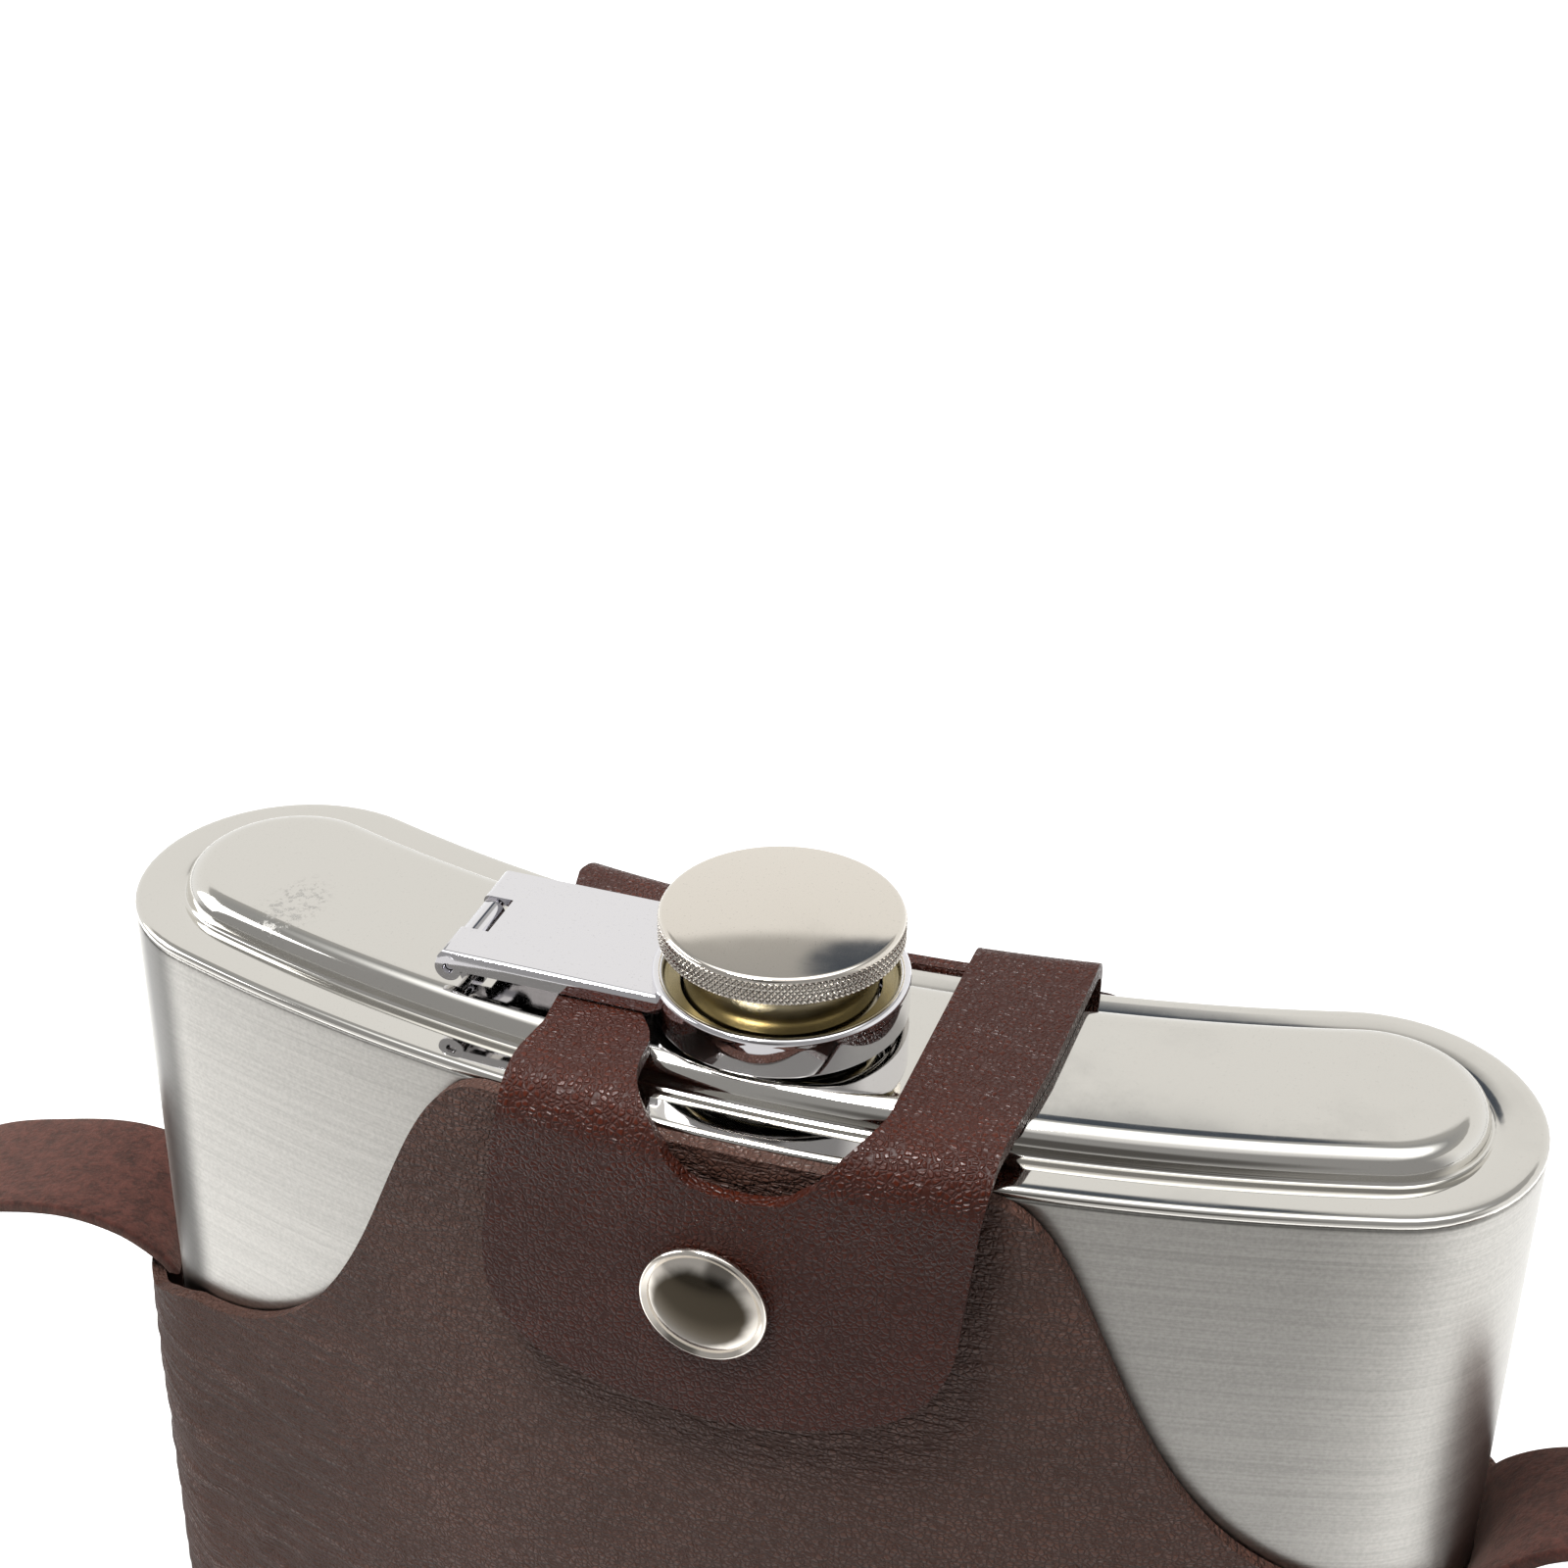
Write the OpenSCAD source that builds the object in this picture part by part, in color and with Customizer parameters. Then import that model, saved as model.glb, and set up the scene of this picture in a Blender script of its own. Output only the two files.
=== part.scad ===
// Curved steel canteen in a leather sleeve, with a captive screw cap and a shoulder strap.
// Millimetres, +Z up. The origin is the middle of the sleeve's underside; -Y is the front.

/* [Flask] */
// Width across the steel flask
body_w = 170; // [168:0.5:172]
// Depth of the steel flask, from its front face to its back face
body_d = 38; // [37.5:0.25:38.5]
// Height of the steel wall, from its foot to the lid seam
body_h = 165; // [150:1:180]
// Radius at mid depth of the curve that the flask is bent to
curve_r = 219.5; // [215:0.5:225]
// Thickness of the steel sheet
sheet_t = 0.8; // [0.6:0.1:0.9]
// Height of the base plate above the foot of the wall
base_rise = 3; // [2:0.5:5]

/* [Lid] */
// Height of the rolled rim above the seam
rim_h = 1.2; // [1:0.1:1.4]
// Distance from the rim's edge in to the foot of the raised top
top_inset = 6.1; // [5:0.1:7]
// Height of the raised top above the seam
top_h = 4.2; // [4:0.05:4.25]
// Radius of the raised top's shoulder
shoulder_r = 2.7; // [2:0.1:2.8]

/* [Neck and cap] */
// Place of the neck's axis across the flask
neck_x = 0.6; // [0.4:0.1:0.8]
// Place of the neck's axis from front to back
neck_y = 1.5; // [1.3:0.1:1.7]
// Radius of the mouth
mouth_r = 8; // [7.5:0.1:8.2]
// Radius over the thread on the neck
thread_r = 9.4; // [9.2:0.1:9.5]
// Height of the neck's end above the seam
neck_h = 13; // [12.8:0.1:13]
// Radius of the cap's knurled head
head_r = 13.8; // [13:0.1:14.2]
// Height of the cap's top above the seam
head_top = 18.2; // [17.5:0.1:19]
// Height of the knurled head
head_h = 3.9; // [3:0.1:3.9]
// Outer radius of the cap's plain skirt
skirt_r = 11; // [10.9:0.1:11.1]

/* [Hinged arm] */
// Outer radius of the ring that carries the cap
ring_r = 14.5; // [14:0.1:14.8]
// Wall thickness of the ring
ring_t = 1.2; // [1:0.1:1.4]
// Width of the arm
arm_w = 18.5; // [18:0.1:19]
// Place of the arm's centre line from front to back
arm_y = 2; // [1.8:0.1:2.2]
// Height of the arm's top above the seam
arm_top = 8.6; // [8.55:0.05:8.8]
// Place of the hinge pin across the flask
pin_x = -36.5; // [-37.5:0.1:-36]
// Height of the hinge pin above the seam
pin_z = 6.6; // [6.5:0.05:6.7]
// Radius of the hinge pin
pin_r = 0.6; // [0.5:0.05:0.7]

/* [Leather] */
// Thickness of the leather
leather_t = 1.8; // [1.6:0.05:1.8]
// Depth of the sleeve's rim at the front corners, below the seam
rim_drop = 52.5; // [50:0.5:55]
// Depth of the sleeve's rim round the ends, below the seam
end_drop = 58.5; // [56:0.5:62]
// Width of the shoulder strap
strap_w = 20; // [19:0.5:21]
// Radius of the snap's dome
snap_r = 7.5; // [7:0.1:8]
// Place of the snap across the flask
snap_x = 1.1; // [0:0.1:2]
// Depth of the snap below the seam
snap_drop = 17.4; // [17:0.1:18]

/* [Hidden] */

$fn = 72;
big = 360;                          // facets of the large arcs
eps = 0.01;
step = 0.02;                        // keeps the round ends from being tangent to the long arcs
half_d = body_d / 2;
end_a = asin((body_w / 2 - half_d) / curve_r);
end_x = curve_r * sin(end_a);
end_y = curve_r * (1 - cos(end_a));
seam_z = leather_t + body_h;
fit = 0.1;                          // gap between leather and steel
tail_gap = fit + leather_t + 0.1;   // the front panel's tails lie over the back panel
reach = 3;                          // how far the sleeve's ends stand off for the strap
rim_z = seam_z - end_drop;
flap_low = 4.3;                     // underside of the leather over the lid, above the seam
flap_top = flap_low + leather_t;
tab_in = curve_r + half_d + 3.3;    // radius of the flap tab's inner face
tab_out = tab_in + leather_t;
fold_r = 5.5;                       // front fold of the flap, at mid thickness
fold_c = (tab_in + tab_out) / 2 - fold_r;
fold_z = (flap_low + flap_top) / 2 - fold_r;
back_r = 3.6;                       // back fold of the flap, at mid thickness
back_c = curve_r - half_d - fit - leather_t / 2 + back_r;
back_z = (flap_low + flap_top) / 2 - back_r;
tab_z = fold_z - 1.5;               // top of the loose tab
tail_a = 14.2;                      // where the front panel's tails end, from the middle
panel_a = 17;                       // where the back panel ends, from the middle
rivet_z = [seam_z - 84, seam_z - 66];
rivet_y = 12;

function bezier(a, b, c, d, n = 8) =
    [for (i = [0:n - 1]) let (t = i / n, s = 1 - t)
        s * s * s * a + 3 * s * s * t * b + 3 * s * t * t * c + t * t * t * d];

// ---- Shapes that follow the curve of the flask ----

// A wedge that opens to the front from the curve's centre
module wedge(a) {
    far = 400;
    translate([0, curve_r])
        polygon([[0, 0], [-far * sin(a), -far * cos(a)], [far * sin(a), -far * cos(a)]]);
}

// A band of the plan between two radii from the curve's centre
module band(inner, outer, a) {
    intersection() {
        translate([0, curve_r]) difference() {
            circle(outer, $fn = big);
            circle(inner, $fn = big);
        }
        wedge(a);
    }
}

// The flask's plan, grown by `front` and `back`, with its ends moved out by `ends`
module kidney(front = 0, back = 0, ends = 0) {
    outer = curve_r + half_d + front;
    inner = curve_r - half_d - back;
    mid = (outer + inner) / 2;
    a = end_a + ends / curve_r * 180 / PI;
    band(inner, outer, a);
    for (side = [-1, 1])
        translate([side * mid * sin(a), curve_r - mid * cos(a)])
            circle((outer - inner) / 2 - step, $fn = 144);
}

// Sweeps a profile of radius and height about the curve's centre
module round_front(a) {
    translate([0, curve_r, 0]) rotate([0, 0, -90 - a])
        rotate_extrude(angle = 2 * a, $fn = big) children();
}

// Extrudes an outline drawn in X and Z towards the front, from y = 60 to y = -60
module from_front() {
    translate([0, 60, 0]) rotate([90, 0, 0]) linear_extrude(120) children();
}

// ---- Steel flask ----

module flask_wall() {
    color("silver") translate([0, 0, leather_t]) linear_extrude(body_h) difference() {
        kidney();
        kidney(-sheet_t, -sheet_t);
    }
}

module flask_base() {
    color("silver") translate([0, 0, leather_t]) {
        translate([0, 0, base_rise]) linear_extrude(sheet_t) kidney(-sheet_t, -sheet_t);
        linear_extrude(base_rise + eps) difference() {
            kidney(-sheet_t, -sheet_t);
            kidney(-2 * sheet_t, -2 * sheet_t);
        }
    }
}

module rounded_step(width, height, r) {
    square([width, height - r]);
    square([width - r, height]);
    translate([width - r, height - r]) circle(r);
}

// The raised top, with its shoulder rounded in steps, drawn in by `skin`
module raised_top(skin) {
    steps = 5;
    r = shoulder_r - skin;
    inset = -top_inset - skin;
    linear_extrude(top_h - shoulder_r) kidney(inset, inset);
    for (i = [0:steps - 1]) {
        d = r * (1 - cos(90 * (i + 0.5) / steps));
        linear_extrude(top_h - shoulder_r + r * sin(90 * (i + 1) / steps))
            kidney(inset - d, inset - d);
    }
}

module lid() {
    skirt_h = 5;
    color("lightgray") translate([0, 0, seam_z]) difference() {
        union() {
            linear_extrude(rim_h) kidney();
            raised_top(0);
            translate([0, 0, -skirt_h]) linear_extrude(skirt_h + eps)
                kidney(-sheet_t, -sheet_t);
        }
        translate([0, 0, -skirt_h - 1]) linear_extrude(skirt_h + 1 + rim_h - sheet_t)
            kidney(-2 * sheet_t, -2 * sheet_t);
        raised_top(sheet_t);
        translate([neck_x, neck_y, 0]) cylinder(r = thread_r - 0.6, h = 10);
    }
}

// Neck with rolled thread rings and the foot that joins it to the lid
module neck() {
    core = thread_r - 0.6;
    pitch = 1.2;
    color("silver") translate([neck_x, neck_y, seam_z]) rotate_extrude() difference() {
        union() {
            translate([0, 2]) square([core, neck_h - 2]);
            translate([0, 2.4]) square([core + 1.2, 1]);
            translate([0, top_h]) square([12, 0.5]);
            for (i = [0:4])
                translate([core - eps, neck_h - 1 - (i + 1) * pitch])
                    polygon([[0, 0], [0.6, 0.35], [0.6, 0.55], [0, 0.9]]);
        }
        translate([-1, 0]) square([mouth_r + 1, neck_h + 1]);
    }
}

// Welded leaf whose end curls up round the pin
module hinge_bracket() {
    width = 6.4;
    curl_r = 1.6;
    color("silver") translate([pin_x, arm_y + width / 2, seam_z]) rotate([90, 0, 0])
        linear_extrude(width) difference() {
            union() {
                translate([0, pin_z]) circle(curl_r);
                translate([0, top_h]) square([9.5, 0.8]);
                translate([0, top_h]) square([curl_r, pin_z - top_h]);
            }
            translate([0, pin_z]) circle(pin_r + 0.05);
        }
}

// ---- Hinged arm and captive cap ----

module hinge_pin() {
    color("silver") translate([pin_x, arm_y + arm_w / 2, seam_z + pin_z])
        rotate([90, 0, 0]) cylinder(r = pin_r, h = arm_w);
}

// Channel-shaped plate with an ear on each side for the pin
module arm_plate() {
    plate_t = 1;
    ear_t = 1.2;
    flange_z = 6.5;
    end_gap = 1.3;
    notch = [3.8, 7];
    left = pin_x - end_gap;
    color("gainsboro") translate([0, arm_y, seam_z]) difference() {
        union() {
            translate([left, -arm_w / 2, arm_top - plate_t])
                cube([neck_x - left, arm_w, plate_t]);
            for (side = [-1, 1])
                translate([0, side * (arm_w / 2 - ear_t / 2) + ear_t / 2, 0])
                    rotate([90, 0, 0]) linear_extrude(ear_t) {
                        translate([left, flange_z])
                            square([neck_x - left, arm_top - flange_z - eps]);
                        translate([pin_x, pin_z]) circle(1.6);
                    }
        }
        translate([left - 1, -notch[1] / 2, 0]) cube([notch[0] + 1, notch[1], 20]);
        translate([pin_x, arm_w, pin_z]) rotate([90, 0, 0]) cylinder(r = pin_r, h = 2 * arm_w);
        translate([neck_x, neck_y - arm_y, 0]) cylinder(r = ring_r, h = 20, $fn = 144);
    }
}

// Ring round the cap's skirt, with the web that holds the cap captive
module arm_ring() {
    low = 5.3;
    high = 10.2;
    color("gainsboro") translate([neck_x, neck_y, seam_z]) rotate_extrude($fn = 144) {
        difference() {
            translate([ring_r - ring_t, low]) square([ring_t, high - low - ring_t / 2]);
            translate([0, low]) square([ring_r - ring_t, 1]);
        }
        translate([ring_r - ring_t / 2, high - ring_t / 2]) circle(ring_t / 2);
        translate([skirt_r + 0.3, 7.6]) square([ring_r - ring_t - skirt_r, 0.9]);
    }
}

// Open spring ring in the skirt's groove
module retaining_clip() {
    color("silver") translate([neck_x, neck_y, seam_z + 5.15]) linear_extrude(0.55)
        difference() {
            circle(skirt_r + 1.6, $fn = 144);
            circle(skirt_r - 0.35, $fn = 144);
            polygon([[0, 0], [20, -8], [20, 8]]);
        }
}

// Screw cap: knurled head and plain skirt, bored out for the neck
module cap() {
    low = 5;
    wall = 0.9;
    head_low = head_top - head_h;
    color("lightgray") translate([neck_x, neck_y, seam_z]) rotate_extrude($fn = 144)
        difference() {
            union() {
                translate([0, head_low]) rounded_step(head_r, head_h, 0.6);
                translate([0, low]) square([skirt_r, head_low - low + eps]);
            }
            translate([0, low - 1]) square([skirt_r - wall, head_low - low + 1]);
            translate([skirt_r - 0.4, low + 0.1]) square([1, 0.65]);
            for (i = [0:4])
                translate([skirt_r - wall - eps, low + 1.6 + i * 1.2])
                    polygon([[0, 0], [0.25, 0.25], [0.25, 0.45], [0, 0.7]]);
        }
}

module cap_liner() {
    color("white") translate([neck_x, neck_y, seam_z + neck_h + 0.2])
        cylinder(r = skirt_r - 1.1, h = head_top - head_h - neck_h - 0.2);
}

// ---- Leather sleeve ----

module sleeve_base() {
    color("saddlebrown") linear_extrude(leather_t)
        kidney(fit + leather_t, tail_gap + leather_t, reach);
}

// Rim of the front and back panels: high behind the flap, low round the ends. Within
// `shoulder` of the middle it can rise further, to `crest`.
module panel_outline(top, shoulder, crest) {
    middle = 1.6;
    half = concat(
        crest > top ? [[shoulder, crest]] : [],
        bezier([shoulder, top], [44, top], [42, -50], [76, -rim_drop], 12),
        [[76, -rim_drop], [81.5, -rim_drop - 2.4], [86.2, -end_drop], [95, -end_drop]],
        [[95, -body_h]]
    );
    n = len(half);
    translate([middle, seam_z]) polygon(concat(
        half, [for (i = [n - 1:-1:0]) [-half[i][0], half[i][1]]]
    ));
}

module front_plan() {
    difference() {
        kidney(fit + leather_t, tail_gap + leather_t, reach);
        kidney(fit, tail_gap, reach);
        intersection() {
            wedge(tail_a);
            translate([0, curve_r]) circle(curve_r, $fn = big);
        }
    }
}

module sleeve_front() {
    color("saddlebrown") difference() {
        union() {
            translate([0, 0, leather_t]) linear_extrude(rim_z - leather_t) front_plan();
            intersection() {
                translate([0, 0, leather_t]) linear_extrude(seam_z) front_plan();
                translate([0, -60, 0]) from_front() panel_outline(0.8, 28, 0.8);
            }
        }
        snap_axis() cylinder(r = 2.2, h = 40);
        rivet_axes() cylinder(r = 1.5, h = 100);
    }
}

module sleeve_back() {
    color("saddlebrown") intersection() {
        translate([0, 0, leather_t]) linear_extrude(seam_z + back_z - leather_t)
            band(curve_r - half_d - fit - leather_t, curve_r - half_d - fit, panel_a);
        from_front() panel_outline(0, 31, back_z + 1);
    }
}

module quarter_ring(r, towards) {
    intersection() {
        difference() {
            circle(r + leather_t / 2);
            circle(r - leather_t / 2);
        }
        mirror([towards < 0 ? 1 : 0, 0]) square(r + leather_t);
    }
}

// Plan of the two straps that pass the neck, one under the arm
module bridge_plan() {
    difference() {
        polygon(concat(
            [[-31, 26], [-31, 18]],
            bezier([-30, 14], [-27, 4], [-23, 0], [-22.5, -12], 6),
            [[-23.2, -18], [-24.2, -30], [30.8, -30], [31.4, -18], [32.6, 0], [32.8, 26]]
        ));
        intersection() {
            polygon(concat(
                [[-16.5, 26], [-16, 4]],
                bezier([-15.5, -2], [-13, -9], [-10, -8], [-9.8, -14], 6),
                bezier([-9.8, -15], [-9.3, -20], [-5, -24], [4.4, -25.6], 8),
                bezier([4.4, -25.6], [13.8, -24], [18.3, -20], [18.6, -15], 8),
                [[18.6, 4], [18.6, 26]]
            ));
            translate([0, curve_r]) difference() {
                circle(400, $fn = big);
                circle(curve_r - half_d - 1, $fn = big);
            }
        }
    }
}

module flap_bridge() {
    color("saddlebrown") translate([0, 0, seam_z]) intersection() {
        round_front(10) {
            translate([back_c, flap_low]) square([fold_c - back_c, leather_t]);
            translate([fold_c, fold_z]) quarter_ring(fold_r, 1);
            translate([back_c, back_z]) quarter_ring(back_r, -1);
        }
        translate([0, 0, -10]) linear_extrude(30) bridge_plan();
    }
}

module tab_outline() {
    notch_x = 4.4;
    polygon(concat(
        [[-24.2, tab_z]],
        bezier([-26.2, -18], [-27, -30], [-19, -32.5], [-12, -33.6]),
        bezier([-12, -33.6], [-3, -35], [5, -35], [12, -33.2]),
        bezier([12, -33.2], [22, -31], [28.8, -27], [29.3, -15]),
        [[29.3, -15], [30.6, tab_z], [notch_x + 5.7, tab_z]],
        bezier([notch_x + 5.5, tab_z - 0.1], [notch_x + 3, -3.1], [notch_x - 3, -3.1],
            [notch_x - 5.7, tab_z], 6)
    ));
}

module flap_tab() {
    color("saddlebrown") difference() {
        translate([0, 0, seam_z]) intersection() {
            round_front(10) translate([tab_in, -40]) square([leather_t, 40]);
            from_front() tab_outline();
        }
        snap_axis() cylinder(r = 3.9, h = 60);
    }
}

// ---- Snap: Z runs out of the front along the snap's axis, from the curve's mid depth ----

module snap_axis() {
    translate([snap_x, 0, seam_z - snap_drop]) rotate([90, 0, 0]) children();
}

module snap_cap() {
    face = tab_out - curve_r;
    rim = 0.6;
    dome_h = 2.3;
    dome_r = (snap_r * snap_r + dome_h * dome_h) / (2 * dome_h);
    color("lightgray") snap_axis() translate([0, 0, face + 0.02]) {
        rotate_extrude() {
            square([snap_r - rim, 2 * rim]);
            translate([snap_r - rim, rim]) circle(rim);
        }
        intersection() {
            translate([0, 0, rim + dome_h - dome_r]) sphere(dome_r);
            translate([0, 0, rim]) cylinder(r = snap_r - 0.2, h = 10);
        }
        translate([0, 0, -0.6]) cylinder(r = 1.6, h = 0.8);
    }
}

module snap_socket() {
    low = tab_in - curve_r;
    color("silver") snap_axis() difference() {
        union() {
            translate([0, 0, low - 0.7]) cylinder(r = 5.5, h = 0.6);
            translate([0, 0, low - 0.7]) cylinder(r = 3.8, h = 2.1);
        }
        translate([0, 0, low - 1]) cylinder(r = 3.1, h = 4);
    }
}

// Stud on the front panel that the socket springs over
module snap_stud() {
    low = half_d + fit + leather_t;
    color("silver") snap_axis() translate([0, 0, low + 0.02]) difference() {
        union() {
            cylinder(r = 5, h = 0.45);
            cylinder(r = 2.3, h = 2);
            translate([0, 0, 1.2]) cylinder(r = 2.6, h = 0.9);
        }
        translate([0, 0, -1]) cylinder(r = 1.4, h = 2.4);
    }
}

// Hollow rivet that clamps the stud from inside the panel
module snap_eyelet() {
    low = half_d + fit;
    color("silver") snap_axis() difference() {
        union() {
            translate([0, 0, low + 0.1]) cylinder(r = 2.2, h = leather_t - 0.12);
            translate([0, 0, low + 0.1]) cylinder(r = 1.4, h = leather_t + 1.2);
        }
        translate([0, 0, low]) cylinder(r = 0.9, h = 10);
    }
}

// ---- Stitches ----

module stitch(long) {
    cube([0.7, 0.5, long], center = true);
}

// Rows down the overlaps of the front panel's tails and the back panel
module back_stitches() {
    pitch = 5;
    row_r = curve_r - half_d - tail_gap - leather_t - 0.27;
    color("sienna") for (side = [-1, 1], z = [8:pitch:rim_z - 4])
        translate([0, curve_r, z]) rotate([0, 0, side * (tail_a + 1)])
            translate([0, -row_r, 0]) stitch(3);
}

// Row round the foot, where the panels are sewn to the base
module base_stitches() {
    turn = 1.3;
    z = 4;
    outer = curve_r + half_d + fit + leather_t;
    inner = curve_r - half_d - tail_gap - leather_t;
    mid = (outer + inner) / 2;
    r = (outer - inner) / 2 + 0.27;
    a = end_a + reach / curve_r * 180 / PI;
    color("sienna") {
        for (t = [-13:13])
            translate([0, curve_r, z]) rotate([0, 0, t * turn])
                translate([0, -outer - 0.27, 0]) rotate([0, 90, 0]) stitch(3);
        for (side = [-1, 1], t = [-5:5])
            translate([side * mid * sin(a), curve_r - mid * cos(a), z])
                rotate([0, 0, side * (t * 13 + a) + 90])
                    translate([0, -side * r, 0]) rotate([0, 90, 0]) stitch(3);
    }
}

// ---- Strap ----

// Z runs out of each end of the flask
module rivet_axes() {
    for (side = [-1, 1], z = rivet_z)
        translate([0, rivet_y, z]) rotate([0, side * 90, 0]) children();
}

// The strap's ends, curved round the steel inside the sleeve
module strap_ends() {
    inner = half_d + 0.6;
    spread = strap_w / (inner + leather_t / 2) * 90 / PI;
    turn = 5;
    far = 40;
    color("brown") difference() {
        for (side = [-1, 1])
            translate([side * end_x, end_y, seam_z - 92]) linear_extrude(92 - end_drop)
                mirror([side < 0 ? 1 : 0, 0]) intersection() {
                    difference() {
                        circle(inner + leather_t, $fn = 144);
                        circle(inner, $fn = 144);
                    }
                    rotate(turn) polygon([
                        [0, 0],
                        [far * cos(spread), -far * sin(spread)],
                        [far * cos(spread), far * sin(spread)],
                    ]);
                }
        rivet_axes() cylinder(r = 1.5, h = 100);
    }
}

module strap_rivets() {
    outer = curve_r + half_d + fit + leather_t;
    inner = curve_r - half_d - tail_gap - leather_t;
    mid = (outer + inner) / 2;
    a = end_a + reach / curve_r * 180 / PI;
    face = mid * sin(a) + (outer - inner) / 2;
    inside = end_x + half_d;
    color("lightgray") rivet_axes() {
        translate([0, 0, inside + 0.1]) cylinder(r = 2.6, h = 0.45);
        translate([0, 0, inside + 0.1]) cylinder(r = 1.5, h = face - inside);
        translate([0, 0, face + 0.02]) rotate_extrude() rounded_step(4.2, 1.3, 0.9);
    }
}

// Route of the free strap: x, y, z, then the direction of its width
strap_route = [
    [-86, 10, 108.6, 0, 1, 0], [-87.6, 10, 110.8, 0, 1, 0], [-92.4, 10, 113.4, 0, 1, 0],
    [-100.5, 10, 114, 0, 1, 0], [-111, 10, 111.8, 0, 1, 0], [-124, 10, 107, 0, 1, 0],
    [-138, 9, 97, 0, 1, 0], [-148, 7, 80, 0, 1, 0], [-152, 6, 59, 0, 1, 0],
    [-153, 5, 38, 0, 1, 0.3], [-148, 5, 19, 0, 0.6, 0.8], [-136, 7, 10.6, 0, 0, 1],
    [-119, 12, 10.2, 0, 0, 1], [-102, 25, 10.2, 0, 0, 1], [-91, 50, 10.2, 0, 0, 1],
    [-86, 82, 10.2, 0, 0, 1], [-84, 114, 10.2, 0, 0, 1], [-73, 142, 10.2, 0, 0, 1],
    [-48, 159, 10.2, 0, 0, 1], [-5, 165, 10.2, 0, 0, 1], [38, 162, 10.2, 0, 0, 1],
    [66, 150, 10.2, 0, 0, 1], [73, 131, 10.2, 0, 0, 1], [62, 113, 10.2, 0, 0, 1],
    [36, 104, 10.2, 0, 0, 1], [0, 102, 10.2, 0, 0, 1], [-36, 97, 10.2, 0, 0, 1],
    [-54, 83, 10.2, 0, 0, 1], [-54, 64, 10.2, 0, 0, 1], [-36, 51, 10.2, 0, 0, 1],
    [10, 46, 10.2, 0, 0, 1], [68, 47, 10.2, 0, 0, 1], [104, 42, 10.2, 0, 0, 1],
    [128, 27, 10.6, 0, 0, 1], [143, 14, 20, 0, 0.6, 0.8], [150, 9, 44, 0, 1, 0.2],
    [149, 8, 70, 0, 1, 0], [141, 10, 92, 0, 1, -0.1], [128, 10, 108, 0, 1, -0.15],
    [114, 10, 117.5, 0, 1, -0.15], [102, 10, 120.6, 0, 1, -0.15],
    [94, 10, 118.8, 0, 1, -0.1], [88.6, 10, 114.2, 0, 1, 0], [86, 10, 108.6, 0, 1, 0],
];
strap_steps = 2;
route_n = len(strap_route);

function unit(v) = v / norm(v);
function route(i) = strap_route[min(max(i, 0), route_n - 1)];
// Catmull-Rom curve through the route's points
function route_at(i, t) =
    let (a = route(i - 1), b = route(i), c = route(i + 1), d = route(i + 2))
    0.5 * (2 * b + (c - a) * t + (2 * a - 5 * b + 4 * c - d) * t * t
        + (3 * b - a - 3 * c + d) * t * t * t);
function place(p) = [p[0], p[1], p[2]];
function lean(p) = [p[3], p[4], p[5]];

module shoulder_strap() {
    half_w = strap_w / 2;
    half_t = leather_t / 2;
    chamfer = 0.4;
    section = [
        [half_w - chamfer, half_t], [half_w, half_t - chamfer],
        [half_w, chamfer - half_t], [half_w - chamfer, -half_t],
        [chamfer - half_w, -half_t], [-half_w, chamfer - half_t],
        [-half_w, half_t - chamfer], [chamfer - half_w, half_t],
    ];
    sides = len(section);
    stations = concat(
        [for (i = [0:route_n - 2], k = [0:strap_steps - 1]) route_at(i, k / strap_steps)],
        [strap_route[route_n - 1]]
    );
    rings = len(stations);
    function along(i) = i == 0 || i == rings - 1 ? [0, 0, i == 0 ? 1 : -1]
        : unit(place(stations[i + 1]) - place(stations[i - 1]));
    points = [for (i = [0:rings - 1])
        let (t = along(i), w0 = lean(stations[i]), w = unit(w0 - (w0 * t) * t), n = cross(t, w))
        for (s = section) place(stations[i]) + s[0] * w + s[1] * n];
    walls = [for (i = [0:rings - 2], k = [0:sides - 1])
        let (a = i * sides + k, b = i * sides + (k + 1) % sides)
        each [[a, a + sides, b], [b, a + sides, b + sides]]];
    start = [for (k = [0:sides - 1]) k];
    finish = [for (k = [sides - 1:-1:0]) (rings - 1) * sides + k];
    color("brown") polyhedron(points, concat(walls, [start, finish]), convexity = 6);
}

flask_wall();
flask_base();
lid();
neck();
hinge_bracket();
hinge_pin();
arm_plate();
arm_ring();
retaining_clip();
cap();
cap_liner();
sleeve_base();
sleeve_front();
sleeve_back();
flap_bridge();
flap_tab();
snap_cap();
snap_socket();
snap_stud();
snap_eyelet();
back_stitches();
base_stitches();
strap_ends();
strap_rivets();
shoulder_strap();
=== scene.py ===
"""Curved steel canteen in a leather sleeve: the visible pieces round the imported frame.

Lengths in the tables are millimetres, +Z up, -Y the front; meshes are made in metres.
"""

import math

import bmesh
import bpy
import numpy as np
from bpy.props import FloatProperty, FloatVectorProperty, IntProperty, PointerProperty
from mathutils import Matrix, Vector, noise


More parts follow.
